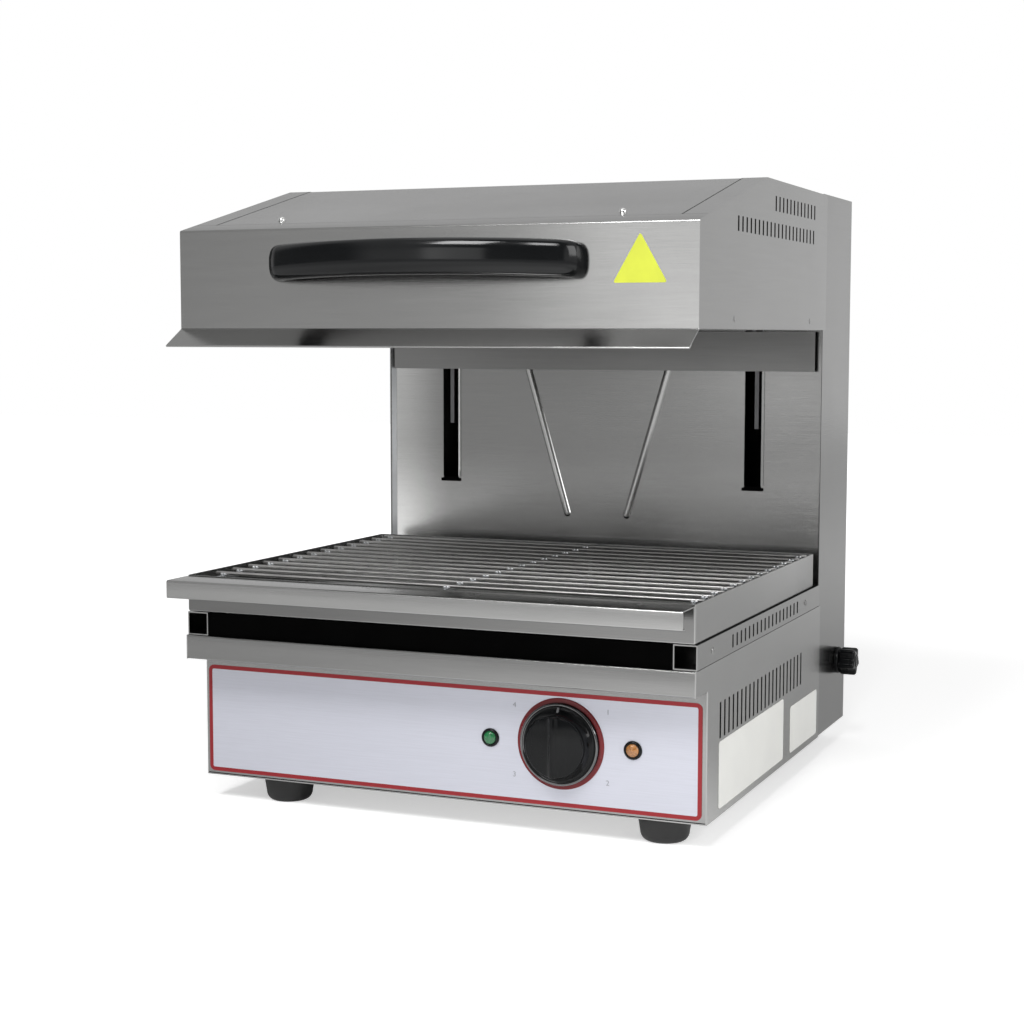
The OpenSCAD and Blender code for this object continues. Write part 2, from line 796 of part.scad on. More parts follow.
module heat_knob() {
    rim = knob_d / 2;
    cap_r = 24.8;
    // Skirt: a rounded bead round its rim, then a hollow that rises to the cap
    skirt = [[0, 0], [rim, 0], [rim, 2.4], [rim - 0.4, 3.5], [rim - 1.3, 4.2], [rim - 2.3, 4.1],
        [rim - 3.6, 3.8], [rim - 5.2, 4.8], [cap_r + 1.8, 6.6], [cap_r + 0.6, 8.6], [cap_r, 10.4], [0, 10.4]];
    // Cap: a blade along the middle between two hollow flanks
    blade = [[-30, 8], [30, 8], [30, 14], [12, 14.4], [6.5, 15.3], [3.2, 16.8], [1.4, 18.2],
        [-1.4, 18.2], [-3.2, 16.8], [-6.5, 15.3], [-12, 14.4], [-30, 14]];
    color(black) placed() translate([knob_x, -1.8, control_z]) to_front() difference() {
        union() {
            rotate_extrude($fn = 96) polygon(skirt);
            intersection() {
                rotate_extrude($fn = 96)
                    polygon([[0, 9], [cap_r, 9], [cap_r - 0.8, 17], [cap_r - 2.6, 20], [0, 20]]);
                rotate([90, 0, 0]) linear_extrude(60, center = true) polygon(blade);
            }
        }
        translate([0, 0, -1]) cylinder(r = 3, h = 15);
    }
}

module heat_spindle() {
    color("lightgray") placed() translate([knob_x, 11, control_z]) to_front() cylinder(r = 3, h = 26);
}

// ---- Grill pan ----

module grill_pan() {
    front = 1 - nose_out;
    flange = 14;
    line = [[front - flange, lip_z - 2 * sheet], [front, lip_z - 2 * sheet], [front, pan_z],
        [front + pan_d, pan_z], [front + pan_d, pan_top]];
    color(steel) placed() {
        across(2 * pan_half) bent(line, sheet);
        both() across(sheet, pan_half - sheet / 2)
            translate([front, pan_z]) square([pan_d, pan_h]);
    }
}

module pan_lip() {
    front = 1 - nose_out;
    hem = 5;
    line = [[front, lip_z], [front - lip_out, lip_z], [front - lip_out, lip_z - lip_h],
        [front - lip_out + hem, lip_z - lip_h]];
    color(steel) placed() across(2 * pan_half) bent(line, sheet);
}

module wire_grid() {
    first = 26 - nose_out;
    bar_z = grid_z - wire_d / 2 - bar_r + 0.2;
    foot_z = pan_z + sheet + 0.3;
    bend = 6;
    ends = [-22, pan_d - nose_out - 8];
    color("lightgray") placed() {
        for (i = [0 : wires - 1]) translate([grid_x - grid_w / 2, first + i * wire_pitch, grid_z]) along_x()
            cylinder(r = wire_d / 2, h = grid_w, $fn = 24);
        for (x = bar_x) translate([grid_x + x, 0, 0]) {
            translate([0, ends[1] - bend, bar_z]) to_front()
                cylinder(r = bar_r, h = ends[1] - ends[0] - 2 * bend, $fn = 24);
            for (s = [0, 1]) translate([0, ends[s], 0]) {
                translate([0, 0, foot_z]) cylinder(r = bar_r, h = bar_z - bend - foot_z, $fn = 24);
                translate([0, s == 0 ? bend : -bend, bar_z - bend]) rotate([90, 0, s == 0 ? -90 : 90])
                    rotate_extrude(angle = 90) translate([bend, 0]) circle(bar_r, $fn = 24);
            }
        }
    }
}

base_casing();
base_deck();
control_panel();
control_overlay();
knob_bezel();
front_baffle();
runner_left();
runner_right();
column_casing();
back_panel();
slot_bumpers();
rear_cover();
casing_screws();
cross_rails();
guide_rods();
shaft_brackets();
shaft_bushings();
lift_belts();
lock_boss();
energy_regulator();
green_lamp();
amber_lamp();
lamp_bezels();
terminal_block();
cable_gland();
foot_front_left();
foot_front_right();
foot_rear_left();
foot_rear_right();
foot_screws();
hood_front();
hood_cover();
hood_side_left();
hood_side_right();
hood_rear();
rear_band();
hood_handle();
hood_screws();
hood_liner();
insulation_board();
heating_elements();
element_hangers();
element_terminals();
carriage();
carriage_arms();
guide_bushings();
belt_clamps();
counterweight();
upper_shaft();
upper_pulleys();
lower_shaft();
lower_pulleys();
lock_knob();
lock_stud();
heat_knob();
heat_spindle();
grill_pan();
pan_lip();
wire_grid();
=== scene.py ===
"""Cheese melter with a lift hood: the finished surfaces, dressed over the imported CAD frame.

Lengths in the operators are in millimetres, counted as in the CAD source: X from the middle
plane, Y from the control panel's front face, Z from the underside of the base. at() turns them
into metres in the frame of the part.
"""

import math

import bmesh
import bpy
from mathutils import Matrix, Vector


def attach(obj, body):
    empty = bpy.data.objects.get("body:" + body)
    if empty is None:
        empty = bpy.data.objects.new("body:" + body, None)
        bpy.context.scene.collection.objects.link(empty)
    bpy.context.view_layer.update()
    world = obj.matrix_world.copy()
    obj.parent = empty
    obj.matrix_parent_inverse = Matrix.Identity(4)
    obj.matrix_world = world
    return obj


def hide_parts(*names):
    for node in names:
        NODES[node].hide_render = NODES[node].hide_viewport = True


bl_info = {
    "name": "Cheese Melter",
    "version": (1, 0, 0),
    "blender": (4, 5, 0),
    "location": "View3D > Sidebar > Melter",
    "description": "Dresses a cheese melter with a lift hood over its CAD frame",
    "category": "Object",
}

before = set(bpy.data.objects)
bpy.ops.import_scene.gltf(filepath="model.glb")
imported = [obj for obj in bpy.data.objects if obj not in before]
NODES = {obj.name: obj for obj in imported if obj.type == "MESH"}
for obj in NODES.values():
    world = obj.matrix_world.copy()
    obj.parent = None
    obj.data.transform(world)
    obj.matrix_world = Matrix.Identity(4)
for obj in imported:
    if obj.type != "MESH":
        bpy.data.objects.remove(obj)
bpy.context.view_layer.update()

# Main datums, in millimetres
BODY_DEPTH = 464
FOOT = 21.5
HOOD_FACE = -32.3
HOOD_TOP = 464.2
RIDGE = (152, 508.5)
ROOF_SLOPE = (RIDGE[1] - HOOD_TOP) / (RIDGE[0] - HOOD_FACE)
HANDLE_Z = 435
CONTROLS_Z = 54.5
KNOB_X = 103.5
LOCK_YZ = (432, 62)
SLOT_EDGE = 148.05
SLOT_LOW = 233.5


def at(x, y, z):
    """A point in metres, in the frame of the part, from millimetres in the CAD source's datums."""
    return Vector((x, y - BODY_DEPTH / 2, z + FOOT)) / 1000


def on_slope(y):
    """Height of the hood's sloping roof at the distance y behind the control panel."""
    return HOOD_TOP + (y - HOOD_FACE) * ROOF_SLOPE


# ---------------------------------------------------------------- properties


class MelterFinish(bpy.types.PropertyGroup):
    """Colours and finishes"""

    steel: bpy.props.FloatVectorProperty(
        name="Stainless steel", description="Colour of the casing's sheets",
        default=(0.29, 0.29, 0.286), size=3, subtype="COLOR", min=0, max=1)
    steel_roughness: bpy.props.FloatProperty(
        name="Steel roughness", description="How dull the ground sheets are",
        default=0.20, min=0.1, max=0.8, subtype="FACTOR")
    plastic: bpy.props.FloatVectorProperty(
        name="Black plastic", description="Colour of the handle and the knobs",
        default=(0.005, 0.0055, 0.006), size=3, subtype="COLOR", min=0, max=1)
    rule: bpy.props.FloatVectorProperty(
        name="Rule", description="Colour of the line round the control panel and of the dial ring",
        default=(0.30, 0.018, 0.024), size=3, subtype="COLOR", min=0, max=1)
    film: bpy.props.FloatVectorProperty(
        name="Film", description="Colour of the control panel's film",
        default=(0.60, 0.61, 0.68), size=3, subtype="COLOR", min=0, max=1)
    green: bpy.props.FloatVectorProperty(
        name="Power lamp", description="Colour of the lamp on the left",
        default=(0.015, 0.21, 0.065), size=3, subtype="COLOR", min=0, max=1)
    amber: bpy.props.FloatVectorProperty(
        name="Heat lamp", description="Colour of the lamp on the right",
        default=(0.52, 0.22, 0.06), size=3, subtype="COLOR", min=0, max=1)
    sign: bpy.props.FloatVectorProperty(
        name="Sign plate", description="Colour of the small triangular plate on the hood",
        default=(0.68, 0.74, 0.06), size=3, subtype="COLOR", min=0, max=1)


class MelterSizes(bpy.types.PropertyGroup):
    """Sizes of the folded and moulded details"""

    bend: bpy.props.FloatProperty(
        name="Bend radius", description="Outer radius of the folds in the sheets, in mm",
        default=1.6, min=0.5, max=4)
    sheet: bpy.props.FloatProperty(
        name="Sheet", description="Thickness of the casing's sheets, in mm",
        default=1.0, min=0.6, max=2)
    hood_sheet: bpy.props.FloatProperty(
        name="Hood sheet", description="Thickness of the hood's sheets, in mm",
        default=0.8, min=0.6, max=2)
    knob: bpy.props.FloatProperty(
        name="Heat knob", description="Diameter of the heat knob's skirt, in mm",
        default=67, min=50, max=80)
    wire: bpy.props.FloatProperty(
        name="Wire", description="Diameter of the grid's wires, in mm",
        default=3.2, min=2, max=5)


def finish():
    return bpy.context.scene.melter_finish


def sizes():
    return bpy.context.scene.melter_sizes


# ---------------------------------------------------------------- materials


def node_material(name):
    mat = bpy.data.materials.new(name)
    mat.use_nodes = True
    tree = mat.node_tree
    return mat, tree, tree.nodes["Principled BSDF"]


def feed(tree, socket, value):
    """Links an output to the socket, or sets a fixed value on it."""
    if isinstance(value, bpy.types.NodeSocket):
        tree.links.new(value, socket)
    else:
        socket.default_value = value


def add_node(tree, kind, **values):
    """Adds a node: each value is one of its settings or goes to the input of that name."""
    node = tree.nodes.new(kind)
    for key, value in values.items():
        if hasattr(node, key):
            setattr(node, key, value)
        else:
            feed(tree, node.inputs[key], value)
    return node


def calc(tree, kind, *values):
    """One step of arithmetic on outputs and numbers."""
    node = add_node(tree, "ShaderNodeMath", operation=kind)
    for socket, value in zip(node.inputs, values):
        feed(tree, socket, value)
    return node.outputs["Value"]


def mixed(tree, kind, factor, a, b):
    return add_node(tree, "ShaderNodeMix", data_type=kind, Factor=factor, A=a, B=b).outputs["Result"]


def ranged(tree, source, near, far, low=0.0, high=1.0, kind="SMOOTHSTEP"):
    """Level that runs from low to high while the source goes from near to far."""
    ends = {"From Min": near, "From Max": far, "To Min": low, "To Max": high}
    node = add_node(tree, "ShaderNodeMapRange", interpolation_type=kind, Value=source, **ends)
    return node.outputs["Result"]


def axes(tree, space="Object"):
    """X, Y and Z of the shaded point, or of the direction in a world."""
    coord = add_node(tree, "ShaderNodeTexCoord")
    return add_node(tree, "ShaderNodeSeparateXYZ", Vector=coord.outputs[space]).outputs


def object_noise(tree, scale, detail=2.0, stretch=(1, 1, 1)):
    """Noise on the piece's own coordinates, in metres, stretched by one factor an axis."""
    coord = add_node(tree, "ShaderNodeTexCoord")
    mapping = add_node(tree, "ShaderNodeMapping", Vector=coord.outputs["Object"], Scale=stretch)
    noise = add_node(tree, "ShaderNodeTexNoise", Vector=mapping.outputs["Vector"], Scale=scale, Detail=detail)
    return noise.outputs["Fac"]


def ramp(tree, source, low, high):
    """Maps 0.3 to 0.7 of a noise to the range low to high."""
    return ranged(tree, source, 0.3, 0.7, low, high, "LINEAR")


def shaded(tree, colour, source, spread):
    """Colour that varies by the spread with a level from 0 to 1."""
    dark, light = ((*[min(1, c * factor) for c in colour], 1) for factor in (1 - spread, 1 + spread))
    return mixed(tree, "RGBA", source, dark, light)


def tinted(tree, shader, colour, noise, spread):
    """Base colour that varies by the spread with a noise."""
    feed(tree, shader.inputs["Base Color"], shaded(tree, colour, ramp(tree, noise, 0, 1), spread))


def dulled(tree, shader, noise, low, high):
    """Roughness that varies from low to high with a noise."""
    feed(tree, shader.inputs["Roughness"], ramp(tree, noise, low, high))


def bumped(tree, shader, source, strength, distance):
    bump = add_node(tree, "ShaderNodeBump", Strength=strength, Distance=distance, Height=source)
    tree.links.new(bump.outputs["Normal"], shader.inputs["Normal"])


def brushed_steel(name, colour, roughness, grain=0):
    """Ground sheet: fine scratches along one axis, with broad faint clouds of polish."""
    mat, tree, shader = node_material(name)
    stretch = [1.0, 1.0, 1.0]
    stretch[grain] = 0.012
    lines = object_noise(tree, 2600, 2, tuple(stretch))
    stretch[grain] = 0.05
    bands = object_noise(tree, 240, 3, tuple(stretch))
    scratches = calc(tree, "MULTIPLY_ADD", lines, 0.6, calc(tree, "MULTIPLY", bands, 0.4))
    tinted(tree, shader, colour, scratches, 0.05)
    dulled(tree, shader, object_noise(tree, 7, 3), roughness - 0.02, roughness + 0.05)
    bumped(tree, shader, scratches, 0.12, 0.0004)
    shader.inputs["Metallic"].default_value = 1.0
    return mat


def heat_toned_steel(name, colour, roughness):
    """Sheet behind the hood with painted light: darker in the middle, brighter at its sides, foot and front
    skin.
    """
    mat = brushed_steel(name, colour, roughness)
    tree = mat.node_tree
    base = tree.nodes["Principled BSDF"].inputs["Base Color"]
    across, along, up = axes(tree)
    left = ranged(tree, across, -0.155, -0.226, 0.80, 1.75)
    right = ranged(tree, across, 0.06, 0.23, 0.0, 0.05)
    skin = ranged(tree, along, at(0, 356.0, 0).y, at(0, 355.3, 0).y, 1.0, 1.9)
    foot = ranged(tree, up, at(0, 0, 275).z, at(0, 0, 180).z, 1.0, 1.7)
    # Painted light: the middle stays darker, and painted reflections brighten the sides, foot and front skin
    painted_light = calc(tree, "MULTIPLY", calc(tree, "MULTIPLY", calc(tree, "ADD", left, right), skin), foot)
    ground = base.links[0].from_socket
    scaled = add_node(tree, "ShaderNodeVectorMath", operation="SCALE", Vector=ground, Scale=painted_light)
    tree.links.new(scaled.outputs["Vector"], base)
    return mat


def plain_metal(name, colour, roughness, spread=0.05):
    mat, tree, shader = node_material(name)
    clouds = object_noise(tree, 60, 4)
    tinted(tree, shader, colour, clouds, spread)
    dulled(tree, shader, clouds, roughness - 0.05, roughness + 0.06)
    shader.inputs["Metallic"].default_value = 1.0
    return mat


def moulding(name, colour, roughness, coat=0.0, grain=900, depth=0.00003, shine=0.5, spread=0.08):
    """Moulded plastic, enamel or rubber with a fine skin and faint handling marks."""
    mat, tree, shader = node_material(name)
    marks = object_noise(tree, 35, 4)
    tinted(tree, shader, colour, marks, spread)
    dulled(tree, shader, marks, roughness * 0.8, roughness * 1.25)
    bumped(tree, shader, object_noise(tree, grain, 3), 0.15, depth)
    shader.inputs["Coat Weight"].default_value = coat
    shader.inputs["Specular IOR Level"].default_value = shine
    return mat


def film_material(name, colour, rule):
    """Printed film: a rounded red rule near its edge, drawn from the distance to that edge."""
    mat, tree, shader = node_material(name)
    spot = axes(tree)
    corner, rule_width = 0.005, 0.0034
    past = []
    for axis, middle, half in (("X", -0.00075, 0.22175), ("Z", at(0, 0, 49.75).z, 0.04625)):
        off = calc(tree, "ABSOLUTE", calc(tree, "SUBTRACT", spot[axis], middle))
        past.append(calc(tree, "SUBTRACT", off, half - corner))
    squares = [calc(tree, "POWER", calc(tree, "MAXIMUM", reach, 0.0), 2) for reach in past]
    outside = calc(tree, "SQRT", calc(tree, "ADD", *squares))
    inside = calc(tree, "MINIMUM", calc(tree, "MAXIMUM", *past), 0.0)
    edge = calc(tree, "SUBTRACT", calc(tree, "ADD", outside, inside), corner)
    on_rule = calc(tree, "GREATER_THAN", edge, -rule_width)
    grain = object_noise(tree, 1800, 2, (0.02, 1, 1))
    base = shaded(tree, colour, ramp(tree, grain, 0, 1), 0.03)
    feed(tree, shader.inputs["Base Color"], mixed(tree, "RGBA", on_rule, base, (*rule, 1)))
    dulled(tree, shader, grain, 0.30, 0.38)
    shader.inputs["Metallic"].default_value = 0.4
    return mat


def lens_material(name, colour):
    """Coloured clear plastic over a dark lamp, with a moulded prism pattern."""
    mat, tree, shader = node_material(name)
    coord = add_node(tree, "ShaderNodeTexCoord")
    cells = add_node(tree, "ShaderNodeTexVoronoi", Vector=coord.outputs["Object"], Scale=900)
    tinted(tree, shader, colour, cells.outputs["Distance"], 0.3)
    bumped(tree, shader, cells.outputs["Distance"], 0.3, 0.0003)
    shader.inputs["Roughness"].default_value = 0.12
    shader.inputs["Transmission Weight"].default_value = 0.25
    shader.inputs["Coat Weight"].default_value = 0.6
    return mat


MATERIALS = {}


def make_materials():
    look = finish()
    rough = look.steel_roughness

    def sheet(name, brightness=1.0, roughness=rough, grain=0):
        return brushed_steel("steel_" + name, tuple(c * brightness for c in look.steel), roughness, grain)

    MATERIALS.update(
        steel_x=sheet("ground_across"),
        steel_y=sheet("ground_along", grain=1),
        # Back panel: steel with painted light and painted reflections
        inner=heat_toned_steel("steel_inside", tuple(look.steel), rough),
        # Rear band: a darker copy of the steel, painted shade under the hood
        band=sheet("shade_darkened", 0.7, rough + 0.11),
        casing=sheet("casing_side", 1.2, grain=1),
        # Column side: a darker copy of the steel, painted shade
        column=sheet("column", 0.86, grain=1),
        shaded_steel=sheet("shaded", 0.8),
        # Pan floor: a brighter copy of the steel, painted light between the wires
        pan_floor=sheet("pan_floor", 1.8, 0.36),
        # Pan's front wall: a darker copy of the steel, painted shade below the lip
        pan_front=sheet("pan_front", 0.6, rough + 0.02),
        # Visor: a brighter copy of the hood front's steel, painted light
        visor=sheet("visor", 1.18, rough - 0.03),
        pan=sheet("pan", 1.13, rough + 0.02),
        reflector=sheet("reflector", 0.9, 0.3, 1),
        # Carriage arms: a darker zinc, painted shade deep in the slots
        arm=plain_metal("arm_zinc_shade_in_slot", (0.2, 0.2, 0.205), 0.5),
        zinc=plain_metal("zinc_plated_steel", (0.5, 0.51, 0.52), 0.35),
        wire=plain_metal("wire_steel", (0.36, 0.355, 0.35), 0.36, 0.10),
        polished=plain_metal("screw_polished_steel", (0.72, 0.72, 0.71), 0.16, 0.04),
        ground=plain_metal("shaft_ground_steel", (0.62, 0.62, 0.63), 0.2),
        alloy=plain_metal("pulley_alloy", (0.7, 0.7, 0.71), 0.34),
        bronze=plain_metal("sintered_bronze", (0.45, 0.27, 0.1), 0.45),
        tube=plain_metal("heating_tube_sheath", (0.2, 0.18, 0.165), 0.5, 0.2),
        plastic=moulding("plastic_black_gloss", tuple(look.plastic), 0.08, 0.0, 500, 0.000005, 0.18),
        grip=moulding("plastic_black_grip", tuple(look.plastic), 0.12, 0.0, 500, 0.000005, 0.30),
        bead=moulding("plastic_black_polished", tuple(look.plastic), 0.08, 1.0, 500, 0.000005, 1.0),
        rubber=moulding("rubber_black", (0.012, 0.012, 0.012), 0.55, 0, 1500, 0.00008),
        # Near black without sheen: the bumpers' own black, and on the front baffle painted shade of the gap
        # under the pan
        black_sheet=moulding("black_enamel_and_gap_shade", (0.0015, 0.0015, 0.0015), 0.6, 0, 300, 0.00002, 0.02),
        seam=moulding("seam_shadow", (0.035, 0.035, 0.035), 0.7, 0, 700, 0.00002, 0.1),
        weight=moulding("paint_black", (0.02, 0.02, 0.022), 0.4, 0, 700, 0.0001),
        ring=moulding("plastic_dark_red", tuple(c * 0.6 for c in look.rule), 0.28, 0.1, shine=0.3),
        phenolic=moulding("phenolic_black", (0.01, 0.01, 0.01), 0.45),
        nylon=moulding("nylon_natural", (0.68, 0.65, 0.56), 0.45),
        board=moulding("insulation_fibre", (0.62, 0.57, 0.46), 0.9, 0, 1200, 0.0006),
        plate=moulding("plate_ivory", (0.86, 0.86, 0.825), 0.5, spread=0.02),
        sign=moulding("plate_yellow", tuple(look.sign), 0.4),
        film=film_material("front_film", tuple(look.film), tuple(look.rule)),
        green=lens_material("lens_green", tuple(look.green)),
        amber=lens_material("lens_amber", tuple(look.amber)),
        mark=moulding("mark_grey", (0.20, 0.20, 0.21), 0.4),
        print_grey=moulding("print_grey", (0.30, 0.31, 0.34), 0.5),
    )


# ---------------------------------------------------------------- mesh helpers


def new_object(name, bm):
    mesh = bpy.data.meshes.new(name)
    bm.to_mesh(mesh)
    bm.free()
    made = bpy.data.objects.new(name, mesh)
    bpy.context.scene.collection.objects.link(made)
    return made


def add_piece(name, bm, body, material, stands_for=(), smooth=35):
    """Makes a piece from a bmesh: it rides on a body and may stand for CAD nodes."""
    piece = new_object(name, bm)
    piece.data.materials.append(MATERIALS[material])
    for face in piece.data.polygons:
        face.use_smooth = True
    piece.data.set_sharp_from_angle(angle=math.radians(smooth))
    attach(piece, body)
    if stands_for:
        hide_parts(*stands_for)
    return piece


def repaint(piece, material, chosen):
    """Gives a second finish to the faces that the test picks by their middle and normal."""
    piece.data.materials.append(MATERIALS[material])
    for face in piece.data.polygons:
        if chosen(face.center, face.normal):
            face.material_index = len(piece.data.materials) - 1


def clean(bm, merge=1e-6):
    bmesh.ops.remove_doubles(bm, verts=bm.verts, dist=merge)
    bmesh.ops.recalc_face_normals(bm, faces=bm.faces)


def join(bm, other):
    """Moves the mesh of other into bm."""
    mesh = bpy.data.meshes.new("join")
    other.to_mesh(mesh)
    other.free()
    bm.from_mesh(mesh)
    bpy.data.meshes.remove(mesh)


def verts_of(geom):
    return [g for g in geom if isinstance(g, bmesh.types.BMVert)]


def faces_of(geom):
    return [g for g in geom if isinstance(g, bmesh.types.BMFace)]


def sharp_edges(bm, angle):
    return [e for e in bm.edges if len(e.link_faces) == 2 and e.calc_face_angle() > angle]


def polyline(bm, points):
    verts = [bm.verts.new(p) for p in points]
    return [bm.edges.new(pair) for pair in zip(verts, verts[1:])]


def patch(bm, corners):
    bm.faces.new([bm.verts.new(corner) for corner in corners])


def draw_out(bm, points, way):
    """Open sheet: a line of points drawn along a vector."""
    wide = bmesh.ops.extrude_edge_only(bm, edges=polyline(bm, points))["geom"]
    bmesh.ops.translate(bm, verts=verts_of(wide), vec=way)


def pull(bm, faces, way):
    """Extrudes faces along a vector and gives the faces at the far end."""
    made = bmesh.ops.extrude_face_region(bm, geom=faces)["geom"]
    bmesh.ops.translate(bm, verts=verts_of(made), vec=way)
    return faces_of(made)


def swing(bm, faces, centre, axis, angle, steps):
    """Sweeps faces round an axis and gives the faces at the far end."""
    around = set(faces) | {e for f in faces for e in f.edges} | {v for f in faces for v in f.verts}
    made = bmesh.ops.spin(bm, geom=list(around), cent=centre, axis=axis, dvec=(0, 0, 0), angle=angle,
                          steps=steps, use_merge=False, use_duplicate=False)
    return faces_of(made["geom_last"])


def round_off(bm, geom, offset, segments, affect="EDGES", clamp=True):
    bmesh.ops.bevel(bm, geom=geom, offset=offset, offset_type="OFFSET", segments=segments, profile=0.5,
                    affect=affect, clamp_overlap=clamp, material=-1)


def folded(line, half_width, thickness, bends):
    """Sheet folded along X: the line gives its outer side in (y, z), with a radius for each fold."""
    bm = bmesh.new()
    draw_out(bm, [at(-half_width, y, z) for y, z in line], (half_width / 500, 0, 0))
    for (y, z), bend in zip(line[1:-1], bends):
        spot = at(0, y, z)
        fold = [e for e in bm.edges if all((v.co.yz - spot.yz).length < 1e-6 for v in e.verts)]
        round_off(bm, fold, bend / 1000, 5, clamp=False)
    thicken(bm, thickness)
    return bm


def thicken(bm, thickness):
    """Gives an open sheet its wall: a positive thickness goes against the faces' normals."""
    bmesh.ops.recalc_face_normals(bm, faces=bm.faces)
    bmesh.ops.solidify(bm, geom=list(bm.faces), thickness=thickness / 1000)
    bmesh.ops.recalc_face_normals(bm, faces=bm.faces)


def turned(profile, steps):
    """Solid turned round Z from a profile of (radius, height) that ends on the axis or closes."""
    bm = bmesh.new()
    edges = polyline(bm, [Vector((r, 0, h)) / 1000 for r, h in profile])
    bmesh.ops.spin(bm, geom=list(bm.verts) + edges, cent=(0, 0, 0), axis=(0, 0, 1), dvec=(0, 0, 0),
                   angle=math.tau, steps=steps, use_merge=True, use_duplicate=False)
    clean(bm)
    return bm


def place(bm, matrix):
    bmesh.ops.transform(bm, matrix=matrix, verts=bm.verts)
    return bm


TO_FRONT = Matrix.Rotation(math.radians(90), 4, "X")
TO_BACK = Matrix.Rotation(math.radians(-90), 4, "X")
TO_RIGHT = Matrix.Rotation(math.radians(90), 4, "Y")


def set_at(bm, point, turn=None):
    return place(bm, Matrix.Translation(point) @ (turn or Matrix.Identity(4)))


def cube(matrix):
    """Cube of one metre, put in place by the matrix."""
    bm = bmesh.new()
    bmesh.ops.create_cube(bm, size=1)
    return place(bm, matrix)


def block(low, high):
    """Box between two corners in millimetres."""
    low, high = at(*low), at(*high)
    return cube(Matrix.Translation((low + high) / 2) @ Matrix.Diagonal((*(high - low), 1)))


def dome_profile(radius, height):
    ball = (radius ** 2 + height ** 2) / (2 * height)
    angles = [math.asin(radius / ball) * (1 - i / 6) for i in range(1, 7)]
    return [(0, 0), (radius, 0)] + [(ball * math.sin(a), height - ball + ball * math.cos(a)) for a in angles]


def screw(radius, height, cross=True):
    """Domed screw head, with a cross recess or plain."""
    bm = turned(dome_profile(radius, height), 28)
    if cross:
        bar = Matrix.Diagonal((radius * 0.0011, radius * 0.00026, 0.00012, 1))
        for turn in (0, 90):
            spin = Matrix.Rotation(math.radians(turn), 4, "Z")
            join(bm, cube(spin @ Matrix.Translation((0, 0, height / 1000)) @ bar))
    return bm


class MelterOperator(bpy.types.Operator):
    bl_options = {"REGISTER", "UNDO"}


# ---------------------------------------------------------------- stage


